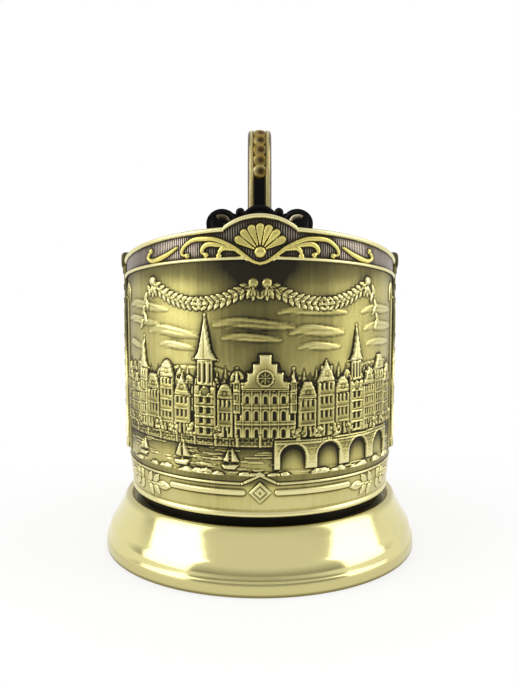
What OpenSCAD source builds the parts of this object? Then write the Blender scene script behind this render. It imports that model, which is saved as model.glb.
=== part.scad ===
// Tea glass holder: a relief sleeve on a flared foot, with a looped handle at its back.
// The front of the holder faces -Y and the handle stands at +Y. Z = 0 is the table.
// All lengths are in millimetres.

/* [Glass space] */
// Radius of the bore that takes the tea glass
bore_r = 34; // [32:0.5:37]
// Wall of the sleeve
wall_t = 1.2; // [1:0.1:1.8]

/* [Heights] */
// Height of the foot, up to the ledge under the neck
foot_h = 14; // [11:0.5:18]
// Height of the dark neck between foot and sleeve
neck_h = 2.8; // [1.8:0.2:4]
// Height of the sleeve at its front, from its lower edge to the rim
sleeve_h = 68.7; // [60:0.5:80]
// How far the rim comes down from the front to the sides
rim_drop = 9.5; // [4:0.1:12]
// How far the front crest stands above the rim
crest_rise = 2.9; // [1.5:0.1:5]

/* [Foot] */
// Largest radius of the foot
foot_r = 42.2; // [40:0.2:46]
// Thickness of the spun foot
foot_t = 1; // [0.8:0.1:1.4]
// Width of the turned-in hem that stands on the table
hem_w = 3; // [2:0.2:5]
// How far the neck ring lies inside the bore
neck_inset = 1; // [0.4:0.1:1.6]
// Width of the neck ring
neck_w = 5; // [4:0.2:7]

/* [Floor] */
// Thickness of the floor plate that the glass stands on
floor_t = 1; // [0.8:0.1:2]
// Gap between the floor plate and its recess
floor_gap = 0.1; // [0.05:0.05:0.3]
// Width of the step round the floor plate
seat_step = 0.5; // [0.3:0.1:0.8]
// Thickness of the lip turned in at the foot of the sleeve
lip_t = 0.8; // [0.6:0.1:1.2]
// Depth of the groove round the middle of the floor
groove_d = 0.3; // [0.2:0.05:0.5]
// Radius of the floor rivets
floor_rivet_r = 0.9; // [0.6:0.1:1.2]
// Number of floor rivets
floor_rivet_count = 4; // [3:1:10]

/* [Rim band] */
// Height of the band at the front
band_h = 7.7; // [7:0.1:10]
// Height of the band at the sides
band_side_h = 4.3; // [3.4:0.1:6]
// How far the band stands out from the sleeve
band_t = 0.4; // [0.2:0.05:0.8]
// Height of the bead along the rim
bead_h = 1.1; // [0.7:0.1:1.4]
// How far the beads stand out from the band
bead_t = 0.6; // [0.3:0.05:0.9]
// Half width of the crest, where it leaves the rim
crest_half_w = 8.5; // [8:0.1:11]

/* [Shell] */
// Number of petals of the shell
petal_count = 7; // [5:2:9]
// Angle between neighbouring petals
petal_step = 20; // [14:1:24]
// Length of a petal, from the middle of the shell
petal_len = 6.4; // [5:0.1:6.8]
// Radius of a petal's tip
petal_r = 0.9; // [0.6:0.05:1.1]
// Radius of the ball under the petals
ball_r = 1.25; // [0.8:0.05:1.5]
// How far shell and scrolls stand out from the band
ornament_t = 0.6; // [0.3:0.05:0.9]

/* [Scrolls] */
// Width of a scroll at its widest
scroll_w = 1.2; // [0.8:0.05:1.5]
// Reach of the scrolls from the middle of the front to either side
scroll_reach = 27.5; // [22:0.5:30]

/* [Lower border] */
// Height of the middle of the border above the sleeve's lower edge
border_z = 6.2; // [5:0.1:9]
// Angle from the front at which a border bar starts
bar_start = 5.6; // [5:0.5:12]
// Angle from the front at which a border bar ends
bar_end = 39; // [30:1:44]
// Height of a border bar
bar_h = 1.5; // [0.8:0.1:2]
// How far the border stands out from the wall
border_t = 0.4; // [0.2:0.05:0.7]
// Half diagonal of a border lozenge
lozenge_r = 2.7; // [1.8:0.1:3.2]
// Length of a border leaf
leaf_len = 19; // [12:0.5:20]
// Height of a border leaf
leaf_h = 4.6; // [2:0.1:6]
// Height of the bead on the sleeve's lower edge
foot_bead_h = 1.3; // [0.8:0.1:2]

/* [Relief] */
// How far the picture stands out from the wall
relief_t = 0.5; // [0.3:0.05:0.8]
// Height of the town's foot above the sleeve's lower edge
town_z = 19.2; // [16:0.2:22]
// Height of the tallest tower above the town's foot
town_h = 29; // [24:0.5:31]
// Width of one span of the bridge
span_w = 9.2; // [7:0.2:10]
// Height of the bridge
bridge_h = 7.2; // [5:0.2:9]
// Half length of the largest boat
boat_r = 2.4; // [1.5:0.1:2.6]
// Width of a swag at its thickest
swag_w = 3; // [2:0.1:4]
// How far a swag hangs down
swag_drop = 4.6; // [3:0.1:6]

/* [Side panels] */
// Half width of a side panel
panel_half_w = 8.4; // [6:0.1:10]
// How far a side panel stands out from the beads
panel_t = 0.7; // [0.4:0.05:1.2]
// Radius of the two curls on top of a side panel
curl_r = 2.2; // [1.6:0.1:2.8]
// Height of the curls above the rim at the sides
curl_rise = 3.4; // [2:0.1:5]

/* [Handle] */
// Width of the handle
handle_w = 7.6; // [6.6:0.1:9]
// Thickness of the handle
handle_t = 5.6; // [4.8:0.1:6.6]
// Height of the handle's top above the table
handle_top = 118.5; // [112:0.5:126]
// Reach of the handle from the middle of the holder
handle_reach = 66; // [60:0.5:74]
// Width of the mouldings along the handle's edges
moulding_w = 1.4; // [1:0.1:1.7]
// Depth of the channel between the mouldings
channel_d = 0.9; // [0.5:0.05:1.3]
// Width of the plate that carries the handle
plate_w = 11; // [10:0.2:14]
// Thickness of that plate
plate_t = 3; // [2.4:0.1:3.6]
// Radius of the handle rivets
rivet_r = 1.3; // [1:0.05:1.6]
// How deep a handle rivet goes into the handle
rivet_bite = 2.4; // [1.5:0.1:3]

/* [Scroll crest] */
// Half width of the pair of volutes over the back rim
volute_half_w = 16.8; // [15:0.2:19]
// Radius of a volute
volute_r = 5.2; // [4.2:0.1:5.6]
// Height of the scroll crest above the back rim
scroll_rise = 7.4; // [6:0.1:9]
// Thickness of the web between the scrolls, as it shows beside them
web_t = 0.8; // [0.6:0.1:1.2]

/* [Scales] */
// Number of scales along the handle
scale_count = 16; // [10:1:22]
// Distance from one scale to the next along the handle
scale_pitch = 3.6; // [3:0.1:4]
// Radius of a scale
scale_r = 2.2; // [1.6:0.1:2.3]
// How far the scales stand out of the channel
scale_t = 0.9; // [0.6:0.05:1.3]

/* [Hidden] */
$fn = 96;
// One overrun serves every cut.
cut = 1;
// Running gap between a rivet and its hole
rivet_gap = 0.03;
// Gap between pieces that are laid side by side
side_gap = 0.2;
// The sleeve draws in a little towards its lower edge.
draw_in = 0.6;
draw_in_h = 8;
foot_bead_t = 0.3;

sleeve_r = bore_r + wall_t;
band_r = sleeve_r + band_t;
bead_r = band_r + bead_t;
plate_r = sleeve_r + plate_t;
panel_r = bead_r + panel_t;
neck_r = bore_r - neck_inset;
ledge_r = neck_r - neck_w;
recess_r = bore_r - seat_step;
sleeve_z = foot_h + neck_h;
floor_z = sleeve_z + lip_t;
seat_z = floor_z + floor_t;
rim_z = sleeve_z + sleeve_h;
rim_side_z = rim_z - rim_drop;
band_z = rim_z - band_h;
band_side_z = rim_side_z - band_side_h;
band_bead_h = 0.8 * bead_h;
mid_border_z = sleeve_z + border_z;
top_z = 2 * rim_z;
// Every flat outline is extruded this deep before a ring trims it.
depth = 2 * foot_r;
floor_rivet_circle = neck_r - 0.36 * neck_w;
plate_foot_z = sleeve_z + 0.7 * draw_in_h;
plate_top_z = band_z - side_gap;
handle_foot_z = plate_foot_z + 0.4 * handle_t;
handle_in_y = plate_r + handle_t / 2;
handle_out_y = handle_reach - handle_t / 2;
handle_high_z = handle_top - handle_t / 2;

// Helpers

// Ring of rectangular section round the Z axis.
module ring(r_in, r_out, z_low, z_high) {
    translate([0, 0, z_low]) difference() {
        cylinder(r = r_out, h = z_high - z_low);
        translate([0, 0, -cut]) cylinder(r = r_in, h = z_high - z_low + 2 * cut);
    }
}

// Space between two roof-shaped surfaces. Each is highest at the front and back
// and comes down in a straight line to the sides, as the rim does.
module saddle(low, low_side, high, high_side) {
    far = depth / bead_r;
    low_out = low_side + (low - low_side) * far;
    high_out = high_side + (high - high_side) * far;
    rotate([90, 0, 90]) translate([0, 0, -depth]) linear_extrude(2 * depth)
        polygon([[-depth, low_out], [0, low_side], [depth, low_out],
                 [depth, high_out], [0, high_side], [-depth, high_out]]);
}

// Flat outline in X and Z, laid on the front of a ring.
module on_front(r_in, r_out) {
    intersection() {
        ring(r_in, r_out, 0, top_z);
        rotate([90, 0, 0]) linear_extrude(depth) children();
    }
}

// Outside of the sleeve, a distance out from it, as a solid that stands on its edge.
module sleeve_skin(out) {
    rotate_extrude($fn = 192) polygon([
        [0, sleeve_z], [sleeve_r - draw_in + out, sleeve_z],
        [sleeve_r - draw_in + out, sleeve_z + foot_bead_h],
        [sleeve_r - 0.45 * draw_in + out, sleeve_z + 0.5 * draw_in_h],
        [sleeve_r - 0.14 * draw_in + out, sleeve_z + 0.74 * draw_in_h],
        [sleeve_r + out, sleeve_z + draw_in_h], [sleeve_r + out, rim_side_z], [0, rim_side_z]]);
}

// Flat outline in X and Z, laid on the drawn-in wall at an angle from the front.
module on_wall(angle, out) {
    difference() {
        intersection() {
            sleeve_skin(out);
            rotate([0, 0, angle]) rotate([90, 0, 0]) linear_extrude(depth) children();
        }
        sleeve_skin(0);
    }
}

function norm2(v) = v / norm(v);
function left_of(v) = [-v[1], v[0]];

// Direction of a line of points at point i.
function run(p, i) = norm2(p[min(i + 1, len(p) - 1)] - p[max(i - 1, 0)]);

// Outline of a stroke that follows the points p, with the half widths h.
function stroke(p, h) = concat(
    [for (i = [0 : len(p) - 1]) p[i] + h[i] * left_of(run(p, i))],
    [for (i = [len(p) - 1 : -1 : 0]) p[i] - h[i] * left_of(run(p, i))]);

// Smooth curve through the points p, with n steps from each to the next.
function bend(a, b, c, d, t) = 0.5 * (2 * b + (c - a) * t
    + (2 * a - 5 * b + 4 * c - d) * t * t + (3 * b - a - 3 * c + d) * t * t * t);
function smooth(p, n) = concat([for (i = [0 : len(p) - 2], k = [0 : n - 1])
    bend(p[max(i - 1, 0)], p[i], p[i + 1], p[min(i + 2, len(p) - 1)], k / n)],
    [p[len(p) - 1]]);

// Half widths of a scroll: thin where it springs, full along its back.
function swell(n, w) = [for (i = [0 : n - 1])
    w / 2 * (0.4 + 0.6 * sin(180 * (i + 0.7) / (n + 0.4)))];

module scroll(shares, across, up, low, w) {
    p = smooth([for (s = shares) [s[0] * across, low + s[1] * up]], 4);
    polygon(stroke(p, swell(len(p), w)));
}

// Foot and neck

// The foot's outside: how far in from the largest radius, as a share of the flare
// to the neck, and how high, as a share of the foot's height.
foot_in_shares = [0.03, 0, 0, 0.01, 0.04, 0.06, 0.1, 0.16, 0.24, 0.36, 0.48, 0.57,
                  0.63, 0.69, 0.76, 0.86, 1];
foot_up_shares = [0, 0.03, 0.14, 0.21, 0.29, 0.36, 0.43, 0.5, 0.58, 0.71, 0.86, 0.99,
                  1.05, 1.07, 1.065, 1.04, 1];
foot_out = [for (i = [0 : len(foot_in_shares) - 1])
    [foot_r - (foot_r - neck_r) * foot_in_shares[i], foot_h * foot_up_shares[i]]];
foot_last = len(foot_out) - 1;

// Spun foot: a flared skirt with a hem on the table and a ledge under the neck.
module foot() {
    inside = [for (i = [foot_last : -1 : 4]) foot_out[i] - foot_t * [0.8, 1]];
    color("goldenrod") difference() {
        rotate_extrude($fn = 192) polygon(concat(
            foot_out,
            [[ledge_r, foot_h], [ledge_r, foot_h - foot_t]],
            inside,
            [[foot_r - foot_t, foot_t], [foot_r - hem_w, foot_t], [foot_r - hem_w, 0]]));
        floor_rivet_holes();
    }
}

module at_floor_rivets() {
    for (i = [0 : floor_rivet_count - 1])
        rotate([0, 0, 360 * (i + 0.5) / floor_rivet_count])
            translate([floor_rivet_circle, 0, 0]) children();
}

module floor_rivet_holes() {
    at_floor_rivets() cylinder(r = floor_rivet_r + rivet_gap, h = seat_z + cut, $fn = 32);
}

// Rivets flush with the floor, with a round head under the ledge.
module floor_rivets() {
    head_h = 0.7 * floor_rivet_r;
    color("darkgoldenrod") at_floor_rivets() translate([0, 0, foot_h - foot_t - head_h]) {
        cylinder(r1 = 1.2 * floor_rivet_r, r2 = 1.6 * floor_rivet_r, h = head_h, $fn = 32);
        cylinder(r = floor_rivet_r, h = seat_z - foot_h + foot_t + head_h, $fn = 32);
    }
}

// Dark spacer that shows as a black line between the foot and the sleeve.
module neck_ring() {
    color("black") difference() {
        ring(ledge_r, neck_r, foot_h, sleeve_z);
        floor_rivet_holes();
    }
}

// Floor disc with a shallow groove in its top, for drops.
module floor_plate() {
    groove_r = 0.62 * bore_r;
    color("gold") difference() {
        translate([0, 0, floor_z]) cylinder(r = recess_r - floor_gap, h = floor_t, $fn = 192);
        floor_rivet_holes();
        ring(groove_r, groove_r + floor_t, seat_z - groove_d, seat_z + cut);
    }
}

// Sleeve, rim and crest

// Outline of the crest over the rim, seen from the front.
module crest_outline(inset) {
    foot_of_crest = rim_z - inset;
    rise = crest_rise;
    half = crest_half_w - inset;
    r = (half * half + rise * rise) / (2 * rise);
    intersection() {
        translate([0, foot_of_crest + rise - r]) circle(r = r);
        translate([-half, foot_of_crest - band_h / 2]) square([2 * half, band_h]);
    }
}

// Ring section under the rim, with the crest on its front.
module crested(r_in, r_out, low, low_side) {
    intersection() {
        ring(r_in, r_out, 0, top_z);
        saddle(low, low_side, rim_z, rim_side_z);
    }
    on_front(r_in, r_out) crest_outline(0);
}

// Sleeve with a straight bore, a drawn-in foot and a turned-in lip.
module sleeve() {
    color("darkkhaki") difference() {
        union() {
            sleeve_skin(0);
            crested(bore_r, sleeve_r, band_side_z - band_h, band_side_z - band_h);
        }
        translate([0, 0, seat_z]) cylinder(r = bore_r, h = top_z, $fn = 192);
        translate([0, 0, floor_z]) cylinder(r = recess_r, h = floor_t + cut, $fn = 192);
        translate([0, 0, sleeve_z - cut]) cylinder(r = ledge_r, h = 2 * cut + lip_t, $fn = 192);
        floor_rivet_holes();
        handle_rivet_holes();
    }
}

module lower_bead() {
    color("khaki") ring(sleeve_r - draw_in, sleeve_r - draw_in + foot_bead_t,
                        sleeve_z, sleeve_z + foot_bead_h);
}

// Plain band round the top of the sleeve, with the crest on its front.
module rim_band() {
    color("rosybrown") crested(sleeve_r, band_r, band_z, band_side_z);
}

// Bead along the rim that climbs over the crest.
module rim_bead() {
    color("khaki") difference() {
        crested(band_r, bead_r, band_z, band_side_z);
        saddle(0, 0, rim_z - bead_h, rim_side_z - bead_h);
        rotate([90, 0, 0]) linear_extrude(depth) crest_outline(bead_h);
    }
}

// Bead along the band's lower edge, left open for the strap under the shell.
module band_bead() {
    color("khaki") difference() {
        intersection() {
            ring(band_r, bead_r, 0, top_z);
            saddle(band_z, band_side_z, band_z + band_bead_h, band_side_z + band_bead_h);
        }
        on_front(band_r - cut, bead_r + cut) for (hand = [-1, 1]) scale([hand, 1])
            scroll(strap_shares, scroll_reach, band_h, band_z, scroll_w + 2 * side_gap);
    }
}

// Shell of petals over a ball, in the middle of the front.
shell_z = band_z + 0.245 * band_h;
module shell_palmette() {
    base_r = ball_r + side_gap;
    tip = petal_len - petal_r;
    color("gold") on_front(band_r, band_r + ornament_t) translate([0, shell_z]) {
        circle(r = ball_r);
        for (i = [0 : petal_count - 1]) rotate(petal_step * (i - (petal_count - 1) / 2)) {
            translate([0, tip]) circle(r = petal_r);
            polygon([[-0.3 * petal_r, base_r - 2 * side_gap], [0.3 * petal_r, base_r - 2 * side_gap],
                     [petal_r, tip], [-petal_r, tip]]);
        }
    }
}

// Scroll outlines as shares of the scrolls' reach and of the band's height.
strap_shares = [[0, -0.02], [0.11, 0.2], [0.23, 0.4], [0.37, 0.58], [0.5, 0.61], [0.59, 0.53],
                [0.655, 0.35], [0.66, 0.2], [0.63, 0.16]];
inner_scroll_shares = [[0.28, 0.38], [0.36, 0.42], [0.43, 0.43], [0.48, 0.34], [0.475, 0.2],
                       [0.43, 0.17]];
small_scroll_shares = [[0.2, 0.32], [0.27, 0.33], [0.33, 0.27], [0.345, 0.12]];
end_scroll_shares = [[0.71, 0.36], [0.77, 0.24], [0.85, 0.1], [0.94, 0.02], [0.99, 0.12],
                     [0.965, 0.26]];

module front_scrolls() {
    color("gold") on_front(band_r, band_r + ornament_t) for (hand = [-1, 1]) scale([hand, 1])
        for (shares = [strap_shares, inner_scroll_shares, small_scroll_shares, end_scroll_shares])
            scroll(shares, scroll_reach, band_h, band_z, scroll_w);
}

module back_scrolls() {
    color("gold") rotate([0, 0, 180]) on_front(band_r, band_r + ornament_t)
        for (hand = [-1, 1]) scale([hand, 1])
            scroll(end_scroll_shares, scroll_reach, band_h, band_z, scroll_w);
}

// Lower border

// A bar with round ends on the wall, between two angles from the front.
module border_bar(from, to) {
    half = sleeve_r * sin((to - from) / 2) - bar_h / 2;
    round_end = [for (a = [-90 : 15 : 90]) bar_h / 2 * [cos(a), sin(a)] + [half, 0]];
    on_wall((from + to) / 2, border_t) translate([0, mid_border_z])
        polygon(concat(round_end, [for (p = round_end) -p]));
}

plate_half_angle = asin(plate_w / 2 / sleeve_r);
module border_bars() {
    color("khaki") {
        border_bar(bar_start, bar_end);
        border_bar(-bar_end, -bar_start);
        border_bar(180 - bar_end, 180 - plate_half_angle - bar_start / 2);
        border_bar(180 + plate_half_angle + bar_start / 2, 180 + bar_end);
    }
}

module border_lozenges() {
    color("khaki") for (side = [0, 90, 270]) on_wall(side, border_t)
        translate([0, mid_border_z]) rotate(45) difference() {
            square(lozenge_r * sqrt(2), center = true);
            square(lozenge_r * sqrt(2) * 0.6, center = true);
        }
}

// Long lobed leaves between the bars and the sides.
module border_leaves() {
    leaf_steps = 28;
    lobes = 4;
    leaf_angle = bar_end + asin((leaf_len / 2 + side_gap) / sleeve_r);
    leaf = [for (i = [0 : leaf_steps]) let (t = i / leaf_steps)
        [leaf_len * (t - 0.5),
         leaf_h / 2 * pow(sin(180 * t), 0.7) * (0.8 - 0.2 * cos(360 * lobes * t))]];
    color("khaki") for (side = [0, 180], hand = [-1, 1])
        on_wall(side + hand * leaf_angle, border_t) translate([0, mid_border_z])
            polygon(concat([for (i = [1 : leaf_steps]) leaf[i]],
                           [for (i = [leaf_steps - 1 : -1 : 0]) [leaf[i][0], -leaf[i][1]]]));
}

// Picture

// Houses and towers from left to right: place as a share of a quarter turn, width as
// a share of the sleeve's radius, eaves and top as shares of the tallest tower, and
// the width of the top as a share of the width. The last one is the stepped hall.
town_shares = [[-0.776, 0.139, 0.379, 0.545, 0.08], [-0.684, 0.136, 0.293, 0.455, 0.3],
               [-0.606, 0.094, 0.517, 0.793, 0.06], [-0.528, 0.134, 0.352, 0.483, 0.45],
               [-0.439, 0.131, 0.469, 0.614, 0.5], [-0.353, 0.131, 0.331, 0.517, 0.08],
               [-0.239, 0.159, 0.638, 1, 0.06], [-0.149, 0.114, 0.328, 0.448, 0.5],
               [0.204, 0.131, 0.324, 0.462, 0.45], [0.291, 0.131, 0.455, 0.634, 0.08],
               [0.374, 0.119, 0.352, 0.49, 0.5], [0.458, 0.125, 0.607, 0.897, 0.06],
               [0.546, 0.136, 0.386, 0.552, 0.08], [0.637, 0.134, 0.497, 0.628, 0.45],
               [0.729, 0.142, 0.366, 0.524, 0.3], [0.022, 0.415, 0.4, 0.69, 0.3]];
village_shares = [[0.28, 0.131, 0.345, 0.49, 0.45], [0.367, 0.131, 0.448, 0.614, 0.08],
                  [0.459, 0.102, 0.569, 0.828, 0.06], [0.546, 0.136, 0.331, 0.49, 0.5],
                  [0.635, 0.131, 0.428, 0.572, 0.08], [0.723, 0.136, 0.324, 0.469, 0.3]];
boat_shares = [[-0.62, 0.8], [-0.36, 1], [-0.13, 0.85]];
hull_shares = [[-1, 0.5], [-0.7, 0], [0.65, 0], [1.1, 0.6]];
fore_sail_shares = [[0.1, 0.8], [1.2, 0.9], [0.1, 2.9]];
after_sail_shares = [[-0.05, 0.8], [-0.05, 2.6], [-0.85, 0.9]];
bridge_start_share = 0.057;
bridge_spans = 4;
town_foot_z = sleeve_z + town_z;
water_z = town_foot_z - side_gap - bridge_h;
quarter = 90;

// Lays a flat outline on the wall at a place in the picture.
module in_picture(place) {
    rotate([0, 0, quarter * place]) on_front(sleeve_r, sleeve_r + relief_t) children();
}

module houses(shares) {
    for (s = shares) in_picture(s[0]) translate([0, town_foot_z]) {
        half = s[1] * sleeve_r / 2;
        eaves = s[2] * town_h;
        polygon([[-half, 0], [half, 0], [half, eaves], [s[4] * half, s[3] * town_h],
                 [-s[4] * half, s[3] * town_h], [-half, eaves]]);
    }
}

module bridge() {
    arch_r = 0.36 * span_w;
    spring_h = 0.42 * bridge_h;
    step = span_w / sleeve_r / PI * 2;
    for (i = [0 : bridge_spans - 1]) in_picture(bridge_start_share + (i + 0.5) * step)
        translate([0, water_z]) difference() {
            translate([(side_gap - span_w) / 2, 0]) square([span_w - side_gap, bridge_h]);
            translate([0, spring_h]) circle(r = arch_r, $fn = 32);
            translate([-arch_r, -cut]) square([2 * arch_r, spring_h + cut]);
        }
}

module boats() {
    for (s = boat_shares) in_picture(s[0]) translate([0, water_z]) scale(s[1] * boat_r) {
        polygon(hull_shares);
        polygon(fore_sail_shares);
        polygon(after_sail_shares);
    }
}

// Hanging swags of leaves, thickest in their middles.
module swags() {
    half_angle = 22.5;
    steps = 16;
    for (hand = [-1, 1]) rotate([0, 0, hand * 1.1 * half_angle]) on_front(sleeve_r, sleeve_r + relief_t)
        translate([0, band_z - 1.9 * swag_w]) {
            p = [for (i = [0 : steps]) let (t = i / steps)
                [sleeve_r * sin((2 * t - 1) * half_angle), -4 * swag_drop * t * (1 - t)]];
            polygon(stroke(p, swell(len(p), swag_w)));
        }
}

module front_relief() {
    color("darkkhaki") {
        houses(town_shares);
        bridge();
        boats();
        swags();
    }
}

module back_relief() {
    color("darkkhaki") for (hand = [-1, 1]) rotate([0, 0, 180])
        houses([for (s = village_shares) [hand * s[0], s[1], s[2], s[3], s[4]]]);
}

// Side panels

// Half widths of a panel as shares, from its foot to its neck.
panel_w_shares = [0.62, 0.98, 0.9, 0.7, 0.6, 0.74, 0.95, 0.8, 0.52, 0.46, 0.6, 0.74, 0.56,
                  0.36, 0.3, 0.42, 0.5];

// Baluster outline that ends in a pair of curls above the rim.
module panel_outline() {
    low = mid_border_z + lozenge_r + 2 * side_gap;
    curl_z = rim_side_z + curl_rise - curl_r;
    last = len(panel_w_shares) - 1;
    edge = smooth([for (i = [0 : last])
        [panel_half_w * panel_w_shares[i], low + (curl_z - low) * i / last]], 3);
    polygon(concat(edge, [for (i = [len(edge) - 1 : -1 : 0]) [-edge[i][0], edge[i][1]]]));
    for (hand = [-1, 1]) translate([hand * 0.95 * curl_r, curl_z]) difference() {
        circle(r = curl_r);
        circle(r = 0.35 * curl_r, $fn = 24);
    }
}

module side_panel() {
    difference() {
        on_front(sleeve_r, panel_r) panel_outline();
        intersection() {
            ring(sleeve_r - cut, bead_r, 0, top_z);
            rotate([0, 0, 90]) saddle(band_z - side_gap, band_side_z - side_gap, top_z, top_z);
        }
        difference() {
            ring(panel_r - panel_t / 2, panel_r + cut, 0, top_z);
            on_front(sleeve_r, panel_r + cut) scale([0.62, 1]) panel_outline();
        }
    }
}

module side_panel_left() {
    color("khaki") rotate([0, 0, -90]) side_panel();
}

module side_panel_right() {
    color("khaki") rotate([0, 0, 90]) side_panel();
}

// Handle

module at_rivets(heights) {
    for (z = heights) translate([0, 0, z]) rotate([-90, 0, 0]) children();
}

root_h = 0.15 * sleeve_h;
upper_heights = [plate_top_z - 0.3 * root_h, plate_top_z - 0.95 * root_h];
lower_heights = [handle_foot_z + 0.3 * root_h, handle_foot_z + 0.8 * root_h];

module handle_rivet_holes() {
    at_rivets(concat(upper_heights, lower_heights))
        cylinder(r = rivet_r + rivet_gap, h = plate_r + rivet_bite + rivet_gap, $fn = 48);
}

// Rivets cut flush with the bore, so that the glass slides past them.
module rivets(heights) {
    color("darkgoldenrod") difference() {
        at_rivets(heights) cylinder(r = rivet_r, h = plate_r + rivet_bite, $fn = 48);
        cylinder(r = bore_r, h = top_z, $fn = 192);
    }
}

module upper_rivets() {
    rivets(upper_heights);
}

module lower_rivets() {
    rivets(lower_heights);
}

// Upright plate on the back of the sleeve, with a pointed arch at either end.
module handle_plate() {
    half = plate_w / 2;
    color("darkkhaki") difference() {
        rotate([0, 0, 180]) on_front(bore_r, plate_r) {
            translate([-half, plate_foot_z + half]) square([plate_w, plate_top_z - plate_foot_z - half]);
            translate([0, plate_foot_z + half]) circle(r = half);
        }
        sleeve_skin(0);
        cylinder(r = sleeve_r, h = top_z, $fn = 192);
        handle_rivet_holes();
    }
}

// Middle line of the handle, as shares of its reach and of its height: up the wall,
// over the top and back to the foot of the plate.
handle_shares = [[0, 0.44], [0, 0.56], [0, 0.7], [0.05, 0.82], [0.14, 0.92], [0.29, 0.985],
                 [0.47, 1], [0.7, 0.965], [0.89, 0.88], [0.99, 0.76], [1, 0.62], [0.95, 0.48],
                 [0.83, 0.35], [0.64, 0.25], [0.4, 0.185], [0.17, 0.145], [0.04, 0.1],
                 [0, 0.05], [0, 0]];
handle_path = smooth([for (s = handle_shares)
    [handle_in_y + s[0] * (handle_out_y - handle_in_y),
     handle_foot_z + s[1] * (handle_high_z - handle_foot_z)]], 3);

// Prism along the handle's middle line, between two places across its width.
module along_handle(x_low, x_high, half_t) {
    rotate([90, 0, 90]) translate([0, 0, x_low]) linear_extrude(x_high - x_low)
        polygon(stroke(handle_path, [for (p = handle_path) half_t]));
}

module handle_web() {
    along_handle(-handle_w / 2 + moulding_w, handle_w / 2 - moulding_w, handle_t / 2 - channel_d);
}

// Cast loop with a channel between two mouldings on its outer and inner face.
module handle() {
    color("peru") difference() {
        union() {
            along_handle(-handle_w / 2, -handle_w / 2 + moulding_w, handle_t / 2);
            along_handle(handle_w / 2 - moulding_w, handle_w / 2, handle_t / 2);
            handle_web();
            translate([-handle_w / 2, plate_r - cut, plate_top_z - 1.25 * root_h])
                cube([handle_w, handle_t / 2 + cut, 1.25 * root_h]);
            translate([-handle_w / 2, plate_r - cut, handle_foot_z])
                cube([handle_w, handle_t / 2 + cut, 1.1 * root_h]);
        }
        cylinder(r = plate_r, h = 2 * top_z, $fn = 192);
        handle_rivet_holes();
    }
}

// Floor of the outer channel, and its length up to each of its points.
channel_floor = [for (i = [0 : len(handle_path) - 1])
    handle_path[i] + (handle_t / 2 - channel_d) * left_of(run(handle_path, i))];
channel_runs = [for (i = 0, d = 0; i < len(channel_floor); i = i + 1,
    d = i < len(channel_floor) ? d + norm(channel_floor[i] - channel_floor[i - 1]) : d) d];

// Domed scales in the outer channel, evenly spaced from the front over the top and
// down the back.
first_scale_share = 0.244;
module handle_scales() {
    dome_r = (scale_r * scale_r + scale_t * scale_t) / (2 * scale_t);
    last = len(channel_floor) - 1;
    cap_t = scale_t + side_gap;
    cap = [for (i = [last : -1 : 0]) channel_floor[i] + cap_t * left_of(run(handle_path, i))];
    color("goldenrod") intersection() {
        for (i = [0 : scale_count - 1]) {
            s = first_scale_share * channel_runs[last] + i * scale_pitch;
            k = max([for (j = [0 : last - 1]) if (channel_runs[j] <= s) j]);
            share = (s - channel_runs[k]) / (channel_runs[k + 1] - channel_runs[k]);
            seat = channel_floor[k] + share * (channel_floor[k + 1] - channel_floor[k]);
            middle = seat + (scale_t - dome_r) * left_of(run(handle_path, k));
            translate([0, middle[0], middle[1]]) sphere(r = dome_r, $fn = 48);
        }
        rotate([90, 0, 90]) translate([0, 0, -handle_w]) linear_extrude(2 * handle_w)
            polygon(concat(channel_floor, cap));
    }
}

// Scroll crest

// Middle line of a volute that winds in from its outside.
volute_turns = 1.7;
function volute(r_out, r_in, n) = [for (i = [0 : n])
    let (t = i / n, a = 100 - 360 * volute_turns * t, r = r_out + (r_in - r_out) * t)
        r * [cos(a), sin(a)]];

// Outline of a round arch on straight legs.
module arch(r, leg_h) {
    circle(r = r);
    translate([-r, -leg_h]) square([2 * r, leg_h]);
}

// Cast crest behind the back rim: two volutes, two balls and an arch for the handle.
module scroll_crest() {
    volute_x = volute_half_w - volute_r;
    volute_z = rim_z + scroll_rise - volute_r;
    line_w = 0.3 * volute_r;
    low_z = rim_z - 0.9 * band_h;
    arch_r = 1.06 * volute_r;
    arch_z = volute_z;
    ball_r = 0.28 * volute_r;
    ball_x = 0.52 * volute_x;
    ball_z = volute_z + 0.74 * volute_r;
    spiral = volute(volute_r - line_w / 2, 0.2 * volute_r, 48);
    color("dimgray") rotate([0, 0, 180]) {
        on_front(bead_r + web_t / 2, plate_r - web_t / 2) {
            for (hand = [-1, 1]) translate([hand * volute_x, volute_z]) circle(r = 0.96 * volute_r);
            translate([0, arch_z]) arch(arch_r - line_w / 4, arch_z - low_z);
            polygon([[-volute_x, low_z], [volute_x, low_z], [volute_x, volute_z],
                     [volute_x - 0.6 * volute_r, volute_z + 0.7 * volute_r],
                     [ball_x, ball_z - 0.5 * ball_r], [-ball_x, ball_z - 0.5 * ball_r],
                     [-volute_x + 0.6 * volute_r, volute_z + 0.7 * volute_r],
                     [-volute_x, volute_z]]);
        }
        on_front(bead_r, plate_r) {
            translate([0, arch_z]) difference() {
                arch(arch_r, arch_z - low_z);
                translate([0, -cut]) arch(arch_r - line_w / 2, arch_z - low_z);
            }
            for (hand = [-1, 1]) scale([hand, 1]) {
                translate([volute_x, volute_z]) polygon(stroke(spiral, swell(len(spiral), 1.5 * line_w)));
                translate([volute_x, volute_z]) circle(r = 0.22 * volute_r, $fn = 32);
                translate([ball_x, ball_z]) circle(r = ball_r, $fn = 32);
                scroll([[0.5, 0.26], [0.66, 0.22], [0.95, 0.3], [1.25, 0.62]],
                       volute_x, volute_r, low_z, 1.5 * line_w);
            }
        }
    }
}

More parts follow.
